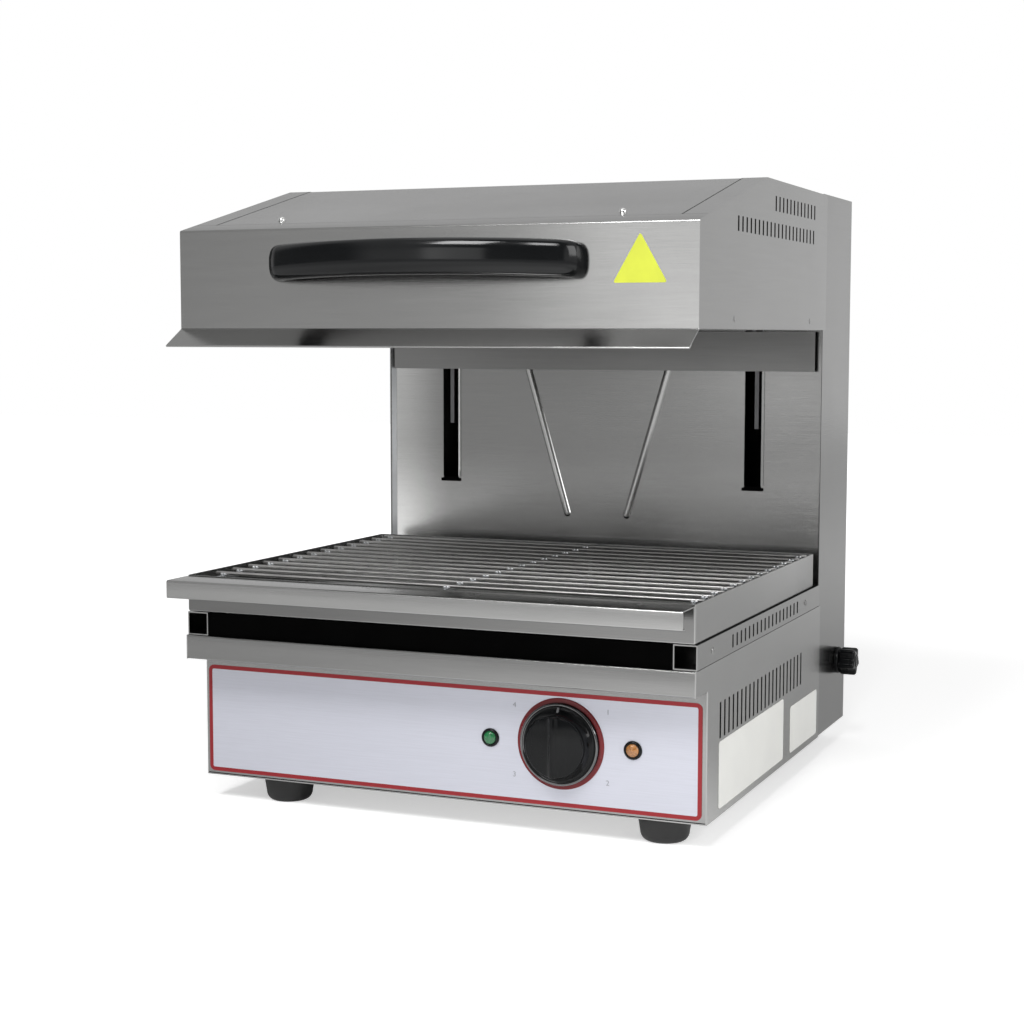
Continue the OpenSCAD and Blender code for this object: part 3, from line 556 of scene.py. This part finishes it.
class MELTER_OT_stage(MelterOperator):
    """Floor, soft lights, white surroundings and the camera"""

    bl_idname = "melter.stage"
    bl_label = "Stage"

    lights = (
        # Name, place, aim, width and height, power
        ("light_key", (-0.26, -1.64, 1.90), (0, 0, 0.3), (0.52, 0.85), 26),
        ("light_second", (0.51, -1.58, 1.90), (0, 0, 0.3), (0.30, 0.60), 9),
        ("light_front", (-0.31, -2.24, 0.66), (0, 0, 0.4), (0.68, 0.80), 2.5),
        ("light_right", (2.0, -0.6, 1.2), (0, 0, 0.25), (1.2, 1.2), 21.5),
        ("light_top", (0.0, 0.2, 2.2), (0, 0, 0.3), (1.6, 1.6), 4),
    )
    # Ray, point, near and far distance from it, glow near and far
    floor_glow = (
        ("Is Camera Ray", (0, 0, 0), 0.5, 2.2, 0.50, 1.0),
        ("Is Glossy Ray", (0, 0, 0), 0.6, 2.0, 0.0, 0.35),
        ("Is Glossy Ray", (0.3, -0.62, 0), 0.15, 0.75, 0.75, 0.0),
    )

    def execute(self, context):
        scene = context.scene
        scene.view_settings.view_transform = "Standard"
        self.make_floor()
        self.make_world(scene)
        for light in self.lights:
            self.make_light(*light)
        self.make_camera(scene)
        return {"FINISHED"}

    def make_floor(self):
        bm = bmesh.new()
        bmesh.ops.create_grid(bm, x_segments=1, y_segments=1, size=6)
        floor = new_object("floor", bm)
        mat, tree, shader = node_material("floor_pale")
        pale = shaded(tree, (0.82, 0.82, 0.82), object_noise(tree, 3), 0.01)
        feed(tree, shader.inputs["Base Color"], pale)
        shader.inputs["Roughness"].default_value = 0.9
        shader.inputs["Specular IOR Level"].default_value = 0.0
        rays = add_node(tree, "ShaderNodeLightPath").outputs
        spot = add_node(tree, "ShaderNodeTexCoord").outputs["Object"]
        glow = 0.0
        for ray, point, near, far, low, high in self.floor_glow:
            apart = add_node(tree, "ShaderNodeVectorMath", operation="DISTANCE", Vector=spot)
            apart.inputs[1].default_value = point
            level = ranged(tree, apart.outputs["Value"], near, far, low, high)
            glow = calc(tree, "ADD", glow, calc(tree, "MULTIPLY", rays[ray], level))
        shader.inputs["Emission Color"].default_value = (1, 1, 1, 1)
        feed(tree, shader.inputs["Emission Strength"], glow)
        floor.data.materials.append(mat)

    def make_world(self, scene):
        world = bpy.data.worlds.new("soft_room")
        scene.world = world
        world.use_nodes = True
        tree = world.node_tree
        rays = add_node(tree, "ShaderNodeLightPath").outputs
        way = axes(tree, "Generated")
        overhead = ranged(tree, way["Z"], 0.02, 0.35, 0.82, 0.58)
        # Dark room behind the camera and to its left, as glossy surfaces see it
        across = way["X"]
        middle = calc(tree, "MULTIPLY", ranged(tree, across, -0.30, -0.12), ranged(tree, across, 0.75, 0.60))
        ahead = calc(tree, "ADD", middle, ranged(tree, across, -0.56, -0.70))
        dark = calc(tree, "MULTIPLY", ahead, ranged(tree, way["Y"], 0.0, -0.3))
        light = calc(tree, "SUBTRACT", 1.0, calc(tree, "MULTIPLY", dark, 0.8))
        mirrored = calc(tree, "MULTIPLY", overhead, light)
        soft = mixed(tree, "FLOAT", rays["Is Glossy Ray"], 0.25, mirrored)
        seen = calc(tree, "MAXIMUM", rays["Is Camera Ray"], rays["Is Transmission Ray"])
        background = tree.nodes["Background"]
        background.inputs["Color"].default_value = (1, 1, 1, 1)
        feed(tree, background.inputs["Strength"], mixed(tree, "FLOAT", seen, soft, 1.0))

    def make_light(self, name, point, aim, size, power):
        lamp = bpy.data.lights.new(name, "AREA")
        lamp.energy = power
        lamp.shape = "RECTANGLE"
        lamp.size, lamp.size_y = size
        light = bpy.data.objects.new(name, lamp)
        bpy.context.scene.collection.objects.link(light)
        light.location = point
        light.rotation_euler = (Vector(aim) - Vector(point)).to_track_quat("-Z", "Y").to_euler()

    def make_camera(self, scene):
        lens = bpy.data.cameras.new("camera")
        lens.lens = 66.56
        lens.sensor_width = 36
        lens.sensor_fit = "HORIZONTAL"
        lens.clip_start = 0.05
        lens.clip_end = 50
        camera = bpy.data.objects.new("camera", lens)
        scene.collection.objects.link(camera)
        pan, tilt, roll = (Matrix.Rotation(math.radians(angle), 4, axis)
                           for angle, axis in ((22.997, "Z"), (90 - 5.3535, "X"), (0.068, "Z")))
        camera.matrix_world = Matrix.Translation(at(647.78, -1382.78, 379.15)) @ pan @ tilt @ roll
        scene.camera = camera


# ---------------------------------------------------------------- casing


class MELTER_OT_sheet_finish(MelterOperator):
    """Ground stainless steel and the other finishes on the CAD nodes that stay"""

    bl_idname = "melter.sheet_finish"
    bl_label = "Finish of the CAD nodes"

    finishes = {
        "steel_x": "rear_cover hood_rear",
        "casing": "base_casing",
        "steel_y": "runner_left runner_right hood_side_left hood_side_right casing_screws",
        "column": "column_casing",
        "inner": "back_panel",
        "band": "rear_band",
        "reflector": "hood_liner",
        "zinc": "cross_rails shaft_brackets lock_boss carriage belt_clamps element_hangers foot_screws",
        # The carriage arms take the darker zinc: painted shade in the slots
        "arm": "carriage_arms",
        "ground": "guide_rods upper_shaft lower_shaft lock_stud heat_spindle",
        "alloy": "upper_pulleys lower_pulleys",
        "bronze": "shaft_bushings guide_bushings",
        "tube": "heating_elements",
        "rubber": "lift_belts",
        "weight": "counterweight",
        "phenolic": "energy_regulator cable_gland",
        "nylon": "terminal_block element_terminals",
        "board": "insulation_board",
        # The front baffle stands partly for the dark gap under the pan: painted shade
        "black_sheet": "front_baffle slot_bumpers",
        "film": "control_overlay",
    }

    def execute(self, context):
        for finish_name, names in self.finishes.items():
            for name in names.split():
                node = NODES[name]
                if not node.material_slots:
                    node.data.materials.append(None)
                for slot in node.material_slots:
                    slot.material = MATERIALS[finish_name]
        return {"FINISHED"}


class MELTER_OT_base_deck(MelterOperator):
    """Top of the base with the nose folded along its front"""

    bl_idname = "melter.base_deck"
    bl_label = "Base deck"

    def execute(self, context):
        size = sizes()
        line = [(2, 105.7), (-31, 105.7), (-31, 126), (352, 126)]
        bm = folded(line, 224, size.sheet, [size.bend] * 2)
        join(bm, block((-222.6, 351, 125), (222.6, 359, 126)))
        deck = add_piece("deck", bm, "base", "steel_x", ["base_deck"])
        repaint(deck, "shaded_steel", lambda spot, way: way.y < -0.9 and spot.y < at(0, -30.9, 0).y)
        return {"FINISHED"}


class MELTER_OT_control_panel(MelterOperator):
    """Control panel with rounded folds, behind the film"""

    bl_idname = "melter.control_panel"
    bl_label = "Control panel"

    def execute(self, context):
        size = sizes()
        line = [(14, 1), (0, 1), (0, 105.7), (14, 105.7)]
        add_piece("panel", folded(line, 224, size.sheet, [size.bend] * 2), "base", "steel_x",
                  ["control_panel"])
        return {"FINISHED"}


class MELTER_OT_hood_front(MelterOperator):
    """Hood front with the hemmed visor below and the fold onto the roof above"""

    bl_idname = "melter.hood_front"
    bl_label = "Hood front"

    def execute(self, context):
        size = sizes()
        low, crease = Vector((-55.9, 369.9)), Vector((HOOD_FACE, 383.5))
        way = (crease - low).normalized()
        back = Vector((way.y, -way.x)) * 1.7
        line = [low + back + 7 * way, low + back, low, crease, (HOOD_FACE, HOOD_TOP), (-10, on_slope(-10))]
        bm = folded(line, 224.8, size.hood_sheet, [0.8, 0.8, 0.5, size.bend])
        face = add_piece("hood_face", bm, "hood", "steel_x", ["hood_front"])
        # The visor below the crease gets the brighter copy of the same sheet: painted light
        repaint(face, "visor", lambda spot, way: spot.z < at(0, 0, 383.4).z)
        return {"FINISHED"}


class MELTER_OT_hood_cover(MelterOperator):
    """Roof cover with the fold at the ridge"""

    bl_idname = "melter.hood_cover"
    bl_label = "Hood cover"

    def execute(self, context):
        size = sizes()
        line = [(-9.5, on_slope(-9.5)), RIDGE, (351, 507.5)]
        add_piece("roof_cover", folded(line, 203.1, size.hood_sheet, [4]), "hood", "steel_x",
                  ["hood_cover"])
        return {"FINISHED"}


class MELTER_OT_hood_handle(MelterOperator):
    """Black bow handle: a rounded bar swept round its two ends and the wide bow"""

    bl_idname = "melter.hood_handle"
    bl_label = "Hood handle"

    def execute(self, context):
        tall, deep, fullness = 28, 17, 2.6
        half, front, end_r, bow = 127.5, 36.5, 14, math.radians(21)
        bow_r = (half - end_r) / math.sin(bow) + end_r
        foot = (front - 0.2) / 1000
        bm = bmesh.new()
        bmesh.ops.create_circle(bm, cap_ends=True, radius=1, segments=48)
        for vert in bm.verts:
            swell = [math.copysign(abs(t) ** (2 / fullness), t) for t in vert.co[:2]]
            vert.co = (swell[0] * deep / 2000, swell[1] * tall / 2000, 0)
        # The section stands across Y at the left foot, then follows the handle's line
        place(bm, Matrix.Translation((-half / 1000, foot, 0)) @ TO_FRONT)
        elbow = Vector((-(bow_r - end_r) * math.sin(bow), bow_r - (bow_r - end_r) * math.cos(bow), 0)) / 1000
        tip = pull(bm, list(bm.faces), (0, elbow.y - foot, 0))
        for centre, angle, steps in (
            (elbow, math.pi / 2 - bow, 14),
            (Vector((0, bow_r / 1000, 0)), 2 * bow, 24),
            (Vector((-elbow.x, elbow.y, 0)), math.pi / 2 - bow, 14),
        ):
            tip = swing(bm, tip, centre, (0, 0, 1), angle, steps)
        pull(bm, tip, (0, foot - elbow.y, 0))
        clean(bm)
        # The bow rises by six degrees as it leaves the hood
        climb = math.tan(math.radians(6))
        rise = Matrix.Identity(4)
        rise[2][1] = -climb
        rise[2][3] = front / 1000 * climb
        place(bm, rise)
        set_at(bm, at(0, HOOD_FACE - front, HANDLE_Z))
        add_piece("bow_handle", bm, "hood", "grip", ["hood_handle"], smooth=60)
        return {"FINISHED"}


class MELTER_OT_hood_screws(MelterOperator):
    """Screws on the hood: domed at the roof, with cross recesses at the handle, flat at the sides"""

    bl_idname = "melter.hood_screws"
    bl_label = "Hood screws"

    def execute(self, context):
        bm, flat = bmesh.new(), bmesh.new()
        tilt = Matrix.Rotation(math.atan(ROOF_SLOPE), 4, "X")
        for side in (-1, 1):
            join(bm, set_at(screw(3.2, 2.8, False), at(side * 150.5, 7, on_slope(7)), tilt))
            for z in (-8, 8):
                join(bm, set_at(screw(3.6, 2.2), at(side * 127.5, -31.5, HANDLE_Z + z), TO_BACK))
            turn = Matrix.Rotation(math.radians(90 * side), 4, "Y")
            for y in (60, 300):
                join(flat, set_at(screw(2.8, 0.5, False), at(side * 224.8, y, 391.5), turn))
        add_piece("hood_screw_heads", bm, "hood", "polished", ["hood_screws"])
        add_piece("hood_side_screw_heads", flat, "hood", "steel_y")
        return {"FINISHED"}


class MELTER_OT_seams(MelterOperator):
    """Shadow lines of the lap joints, a painted shadow along the visor's crease, the left slot's rim with a
    painted highlight and the column's slant edge
    """

    bl_idname = "melter.seams"
    bl_label = "Seams"

    def execute(self, context):
        roof = bmesh.new()
        (y0, z0), (y1, z1) = (-9, on_slope(-9)), (151, 508.25)
        for x in (-203.5, 203.5):
            patch(roof, [at(x + dx, y, z + 0.03)
                         for dx, y, z in ((-0.45, y0, z0), (0.45, y0, z0), (0.45, y1, z1), (-0.45, y1, z1))])
        thicken(roof, 0.06)
        # A dark strip along the visor's crease: painted shadow
        join(roof, block((-224.2, -32.42, 383.2), (224.2, -32.2, 383.9)))
        add_piece("hood_seams", roof, "hood", "seam")
        side = block((224.9, -28, 125.6), (225.06, 351, 126.1))
        join(side, block((223.5, 352.1, 127), (223.66, 353.7, 506)))
        add_piece("side_seams", side, "base", "seam")
        # The left slot's rim: a rod of bright polished steel along its edge, partly a painted highlight
        rim = turned([(0, 0), (1.0, 0.3), (1.25, 1.2)] + [(1.25, z) for z in range(10, 160, 30)]
                     + [(1.25, 172), (1.0, 173), (0, 173.3)], 16)
        set_at(rim, at(-SLOT_EDGE, 356.3, SLOT_LOW + 2))
        add_piece("slot_rim_highlight", rim, "base", "polished")
        # The casing's left edge turns in to the back panel on a slant
        turn = bmesh.new()
        outer, inner = (-223.9, 352.1), (-218.9, 356.9)
        patch(turn, [at(x, y, z) for (x, y), z in ((outer, 127), (inner, 127), (inner, 505), (outer, 505))])
        thicken(turn, 0.1)
        add_piece("column_return", turn, "base", "zinc")
        return {"FINISHED"}


class MELTER_OT_plates(MelterOperator):
    """Bare plates: the triangle on the hood and the two pale ones on the right side"""

    bl_idname = "melter.plates"
    bl_label = "Bare plates"

    def execute(self, context):
        corners = [at(x, -32.35, z) for x, z in ((157, 418), (200, 418), (178.5, 455.5))]
        sign = self.plate("hood_plate", "hood", "sign", corners, 0.0022, (0, -0.0004, 0))
        sign.visible_glossy = False
        for name, y0, y1, z1 in (("side_plate_front", 30.5, 226, 60), ("side_plate_rear", 250, 346, 48)):
            corners = [at(225.02, y, z) for y, z in ((y0, 6), (y1, 6), (y1, z1), (y0, z1))]
            self.plate(name, "base", "plate", corners, 0.003, (0.0003, 0, 0))
        return {"FINISHED"}

    def plate(self, name, body, material, corners, radius, rise):
        """Thin plate with rounded corners, raised from its sheet by a vector."""
        bm = bmesh.new()
        patch(bm, corners)
        round_off(bm, list(bm.verts), radius, 5, "VERTICES")
        pull(bm, list(bm.faces), rise)
        clean(bm, 1e-7)
        return add_piece(name, bm, body, material)


# ---------------------------------------------------------------- controls


class MELTER_OT_heat_knob(MelterOperator):
    """Heat knob: wide skirt, raised cap with a sharp ridge and a grey pointer mark"""

    bl_idname = "melter.heat_knob"
    bl_label = "Heat knob"

    def execute(self, context):
        rim = sizes().knob / 2
        centre = at(KNOB_X, -1.8, CONTROLS_Z)
        bm = turned([(0, 0), (rim - 0.3, 0), (rim, 0.3), (rim, 2.2), (rim - 0.2, 3.1), (rim - 0.7, 3.8),
                     (rim - 1.3, 4.15), (rim - 1.9, 4.1), (rim - 2.5, 3.7), (rim - 3.2, 3.25),
                     (rim - 4.0, 3.2), (rim - 4.8, 3.6), (rim - 5.6, 4.4), (27.0, 5.8), (26.0, 7.5),
                     (25.4, 9.2), (25, 10.4), (0, 10.4)], 96)
        set_at(bm, centre, TO_FRONT)
        skirt = add_piece("knob_skirt", bm, "heat_knob", "plastic", ["heat_knob"], smooth=40)
        # The bead round the skirt's edge is polished
        repaint(skirt, "bead", lambda spot, way: 0.0302 < (spot - centre).xz.length < 0.0332
                and spot.y < centre.y - 0.003)
        cap = set_at(self.blade_cap(24.8), centre, TO_FRONT)
        add_piece("knob_cap", cap, "heat_knob", "plastic", smooth=40)
        mark = cube(Matrix.Identity(4))
        round_off(mark, list(mark.edges), 0.18, 2)
        place(mark, Matrix.Translation((0, 0.0283, 0.0052)) @ Matrix.Rotation(math.radians(-33), 4, "X")
              @ Matrix.Diagonal((0.0018, 0.0046, 0.0008, 1)))
        set_at(mark, centre, TO_FRONT)
        add_piece("knob_mark", mark, "heat_knob", "mark")
        return {"FINISHED"}

    def blade_cap(self, radius):
        """Round cap with a blade along its middle: a wavy sheet trimmed to a circle, then walled."""
        half = [(1.2, 18.2), (2.0, 17.9), (3.2, 16.8), (4.6, 15.9), (6.5, 15.3), (12, 14.6), (26, 14.1)]
        line = [(-x, z) for x, z in reversed(half)] + half
        bm = bmesh.new()
        draw_out(bm, [Vector((x, -26, z)) / 1000 for x, z in line], (0, 0.052, 0))
        for i in range(96):
            way = Vector((math.cos(i * math.tau / 96), math.sin(i * math.tau / 96), 0))
            bmesh.ops.bisect_plane(bm, geom=list(bm.verts) + list(bm.edges) + list(bm.faces), dist=1e-8,
                                   plane_co=way * (radius - 0.5) / 1000, plane_no=way, use_snap_center=False,
                                   clear_outer=True, clear_inner=False)
        rim = [e for e in bm.edges if len(e.link_faces) == 1]
        foot = verts_of(bmesh.ops.extrude_edge_only(bm, edges=rim)["geom"])
        bmesh.ops.scale(bm, verts=foot, vec=(radius / (radius - 0.5), radius / (radius - 0.5), 0))
        bmesh.ops.translate(bm, verts=foot, vec=(0, 0, 0.0095))
        clean(bm, 1e-7)
        round_off(bm, sharp_edges(bm, 0.6), 0.0007, 3)
        return bm


class MELTER_OT_dial(MelterOperator):
    """Dark red ring behind the knob and the numbers of the dial around it"""

    bl_idname = "melter.dial"
    bl_label = "Dial"

    def execute(self, context):
        ring = turned([(5, 0), (37, 0), (37, 0.5), (36.7, 0.85), (36.2, 1), (5, 1), (5, 0)], 96)
        set_at(ring, at(KNOB_X, -0.5, CONTROLS_Z), TO_FRONT)
        add_piece("dial_ring", ring, "base", "ring", ["knob_bezel"])
        for number, angle in enumerate((35.4, -35.4, 215.4, 144.6), 1):
            across, up = 49 * math.cos(math.radians(angle)), 49 * math.sin(math.radians(angle))
            self.numeral(str(number), at(KNOB_X + across, -0.52, CONTROLS_Z + up))
        return {"FINISHED"}

    def numeral(self, text, point):
        curve = bpy.data.curves.new("numeral", "FONT")
        curve.body = text
        curve.size = 0.006
        curve.align_x = "CENTER"
        curve.align_y = "CENTER"
        curve.extrude = 0.00006
        scratch = bpy.data.objects.new("numeral", curve)
        bpy.context.scene.collection.objects.link(scratch)
        mesh = bpy.data.meshes.new_from_object(scratch)
        bpy.data.objects.remove(scratch)
        bm = bmesh.new()
        bm.from_mesh(mesh)
        bpy.data.meshes.remove(mesh)
        set_at(bm, point, TO_FRONT)
        add_piece("dial_" + text, bm, "base", "print_grey")


class MELTER_OT_lamps(MelterOperator):
    """Green and amber lamps with their black bezels"""

    bl_idname = "melter.lamps"
    bl_label = "Lamps"

    def execute(self, context):
        rims = bmesh.new()
        for name, x in (("green", 42.5), ("amber", 164.5)):
            lens = turned([(0, -24), (5.7, -24), (5.7, 0.3), (5.3, 0.5), (5.3, 2.1), (5.0, 2.7), (4.2, 3.3),
                           (2.8, 3.9), (1.4, 4.2), (0, 4.3)], 40)
            set_at(lens, at(x, 0, CONTROLS_Z), TO_FRONT)
            add_piece(name + "_lens", lens, "base", name, [name + "_lamp"], smooth=50)
            rim = turned([(5.35, 0.5), (7.3, 0.5), (7.6, 0.7), (7.6, 1.3), (7.3, 1.9), (6.7, 2.4), (5.9, 2.6),
                          (5.5, 2.4), (5.35, 2.1), (5.35, 0.5)], 40)
            join(rims, set_at(rim, at(x, 0, CONTROLS_Z), TO_FRONT))
        add_piece("lamp_rims", rims, "base", "plastic", ["lamp_bezels"], smooth=50)
        return {"FINISHED"}


class MELTER_OT_lock_knob(MelterOperator):
    """Five-lobed locking knob on the right side of the column"""

    bl_idname = "melter.lock_knob"
    bl_label = "Locking knob"

    def execute(self, context):
        bm = bmesh.new()
        bmesh.ops.create_circle(bm, cap_ends=True, radius=0.010, segments=120)
        for vert in bm.verts:
            angle = math.atan2(vert.co.y, vert.co.x)
            vert.co *= 1 + 0.4 * (0.5 + 0.5 * math.cos(5 * angle)) ** 1.2
        pull(bm, list(bm.faces), (0, 0, 0.0164))
        clean(bm)
        round_off(bm, sharp_edges(bm, 1), 0.0028, 5)
        place(bm, Matrix.Translation((0, 0, 0.0031)))
        join(bm, turned([(4, 0), (12.6, 0), (13, 0.5), (13, 2.7), (12.8, 3.1), (12.3, 3.4), (4, 3.4),
                         (4, 0)], 64))
        join(bm, turned([(0, 19), (6.6, 19), (6.5, 19.6), (6, 20), (5, 20.2), (4.5, 19.9), (0, 19.9)], 48))
        set_at(bm, at(224.0, *LOCK_YZ), TO_RIGHT)
        add_piece("lobed_knob", bm, "lock_knob", "plastic", ["lock_knob"], smooth=45)
        return {"FINISHED"}


class MELTER_OT_feet(MelterOperator):
    """Four rubber feet"""

    bl_idname = "melter.feet"
    bl_label = "Feet"

    def execute(self, context):
        names = ("foot_front_left", "foot_front_right", "foot_rear_left", "foot_rear_right")
        spots = [(x, y) for y in (28, BODY_DEPTH - 28) for x in (-160, 182)]
        for name, (x, y) in zip(names, spots):
            bm = turned([(6.5, 0), (14.2, 0), (15.4, 0.2), (16.4, 0.7), (17.5, 1.5), (18.4, 2.6), (19.1, 3.8),
                         (19.6, 5.2), (20.7, 12.5), (21.2, 15.4), (21.5, 17.5), (21.5, 20.9), (21.2, 21.4),
                         (20.8, 21.5), (2.6, 21.5), (2.6, 10), (6.5, 10), (6.5, 0)], 64)
            set_at(bm, at(x, y, -FOOT))
            add_piece("rubber_" + name, bm, "base", "rubber", [name], smooth=40)
        return {"FINISHED"}


# ---------------------------------------------------------------- grill pan


class MELTER_OT_grill_pan(MelterOperator):
    """Grill pan: a tray with rounded upright corners and floor edges"""

    bl_idname = "melter.grill_pan"
    bl_label = "Grill pan"

    def execute(self, context):
        size = sizes()
        corners = (-224, -30, 146), (224, 331.6, 177)
        low, high = (at(*corner) for corner in corners)
        bm = block(*corners)
        top = [f for f in bm.faces if f.calc_center_median().z > high.z - 1e-5]
        bmesh.ops.delete(bm, geom=top, context="FACES_ONLY")
        round_off(bm, [e for e in bm.edges if len(e.link_faces) == 2], 0.0022, 4)
        thicken(bm, size.sheet)
        join(bm, block((-220, -44, 174.2), (220, -30.1, 175.1)))
        tray = add_piece("pan_tray", bm, "grill_pan", "pan", ["grill_pan"], smooth=40)
        # The floor's inside faces get the brighter copy: painted light
        repaint(tray, "pan_floor", lambda spot, way: way.z > 0.9 and low.z < spot.z < low.z + 0.003)
        # The front wall's outer face gets the darker copy: painted shade
        repaint(tray, "pan_front", lambda spot, way: way.y < -0.9 and spot.y < low.y + 0.0005)
        line = [(-30.1, 176.2), (-61.8, 176.2), (-61.8, 161.2), (-56.8, 161.2)]
        lip = folded(line, 224, size.sheet, [1.8, 1.4])
        add_piece("pan_handle_lip", lip, "grill_pan", "pan", ["pan_lip"], smooth=40)
        spots = bmesh.new()
        for x in (-182, -115, -48, 48, 115, 182):
            spot = turned([(0, 0.14), (1.3, 0.1), (2.0, 0.02), (2.3, -0.05)], 24)
            join(spots, set_at(spot, at(x, -39.5, 176.2)))
        add_piece("pan_weld_spots", spots, "grill_pan", "zinc")
        return {"FINISHED"}


class MELTER_OT_wire_grid(MelterOperator):
    """Wire grid: thirteen cross wires welded on three bars that bend down to the pan's floor"""

    bl_idname = "melter.wire_grid"
    bl_label = "Wire grid"

    count, pitch = 13, 26.3

    def execute(self, context):
        r = sizes().wire / 2
        profile = ([(0, -216.5), (r - 0.5, -216.5), (r, -216)] + [(r, x) for x in range(-210, 211, 42)]
                   + [(r, 216), (r - 0.5, 216.5), (0, 216.5)])
        wires, bars = bmesh.new(), bmesh.new()
        for i in range(self.count):
            join(wires, set_at(turned(profile, 14), at(6, -5 + i * self.pitch, 176.6), TO_RIGHT))
        for x in (-203, 6, 215):
            join(bars, self.bar(x))
            for i in range(self.count):
                for side in (-1, 1):
                    bead = bmesh.new()
                    bmesh.ops.create_icosphere(bead, subdivisions=2, radius=0.0017)
                    join(bars, set_at(bead, at(x + side * 1.5, -6.2 + i * self.pitch, 175.7)))
        add_piece("grid_wires", wires, "wire_grid", "wire", ["wire_grid"], smooth=50)
        add_piece("grid_bars", bars, "wire_grid", "zinc", smooth=50)
        return {"FINISHED"}

    def bar(self, x):
        """Bar along Y with both ends bent down, made by sweeping its round section."""
        bend, foot, top = 0.006, at(0, 0, 147.4).z, at(0, 0, 173.2).z
        front, back = at(0, -22, 0).y, at(0, 322.6, 0).y
        bm = bmesh.new()
        bmesh.ops.create_circle(bm, cap_ends=True, radius=0.002, segments=14)
        place(bm, Matrix.Translation((0, front, foot)))
        tip = pull(bm, list(bm.faces), (0, 0, top - bend - foot))
        tip = swing(bm, tip, (0, front + bend, top - bend), (1, 0, 0), -math.pi / 2, 8)
        tip = pull(bm, tip, (0, back - front - 2 * bend, 0))
        tip = swing(bm, tip, (0, back - bend, top - bend), (1, 0, 0), -math.pi / 2, 8)
        pull(bm, tip, (0, 0, foot - top + bend))
        clean(bm)
        return place(bm, Matrix.Translation((x / 1000, 0, 0)))


# ---------------------------------------------------------------- add-on

STEPS = (
    "stage", "sheet_finish", "base_deck", "control_panel", "hood_front", "hood_cover", "hood_handle",
    "hood_screws", "seams", "plates", "heat_knob", "dial", "lamps", "lock_knob", "feet", "grill_pan",
    "wire_grid",
)


class MELTER_PT_panel(bpy.types.Panel):
    """Lists the pieces of the melter"""

    bl_label = "Cheese Melter"
    bl_idname = "MELTER_PT_panel"
    bl_space_type = "VIEW_3D"
    bl_region_type = "UI"
    bl_category = "Melter"

    def draw(self, context):
        column = self.layout.column(align=True)
        for key in MelterFinish.__annotations__:
            column.prop(context.scene.melter_finish, key)
        for key in MelterSizes.__annotations__:
            column.prop(context.scene.melter_sizes, key)
        for step in STEPS:
            self.layout.operator("melter." + step)


CLASSES = (
    MelterFinish, MelterSizes, MELTER_OT_stage, MELTER_OT_sheet_finish, MELTER_OT_base_deck,
    MELTER_OT_control_panel, MELTER_OT_hood_front, MELTER_OT_hood_cover, MELTER_OT_hood_handle,
    MELTER_OT_hood_screws, MELTER_OT_seams, MELTER_OT_plates, MELTER_OT_heat_knob, MELTER_OT_dial,
    MELTER_OT_lamps, MELTER_OT_lock_knob, MELTER_OT_feet, MELTER_OT_grill_pan, MELTER_OT_wire_grid,
    MELTER_PT_panel,
)


def register():
    for cls in CLASSES:
        bpy.utils.register_class(cls)
    bpy.types.Scene.melter_finish = bpy.props.PointerProperty(type=MelterFinish)
    bpy.types.Scene.melter_sizes = bpy.props.PointerProperty(type=MelterSizes)


def unregister():
    del bpy.types.Scene.melter_sizes
    del bpy.types.Scene.melter_finish
    for cls in reversed(CLASSES):
        bpy.utils.unregister_class(cls)


def main():
    register()
    make_materials()
    for step in STEPS:
        getattr(bpy.ops.melter, step)()


if __name__ == "__main__":
    main()
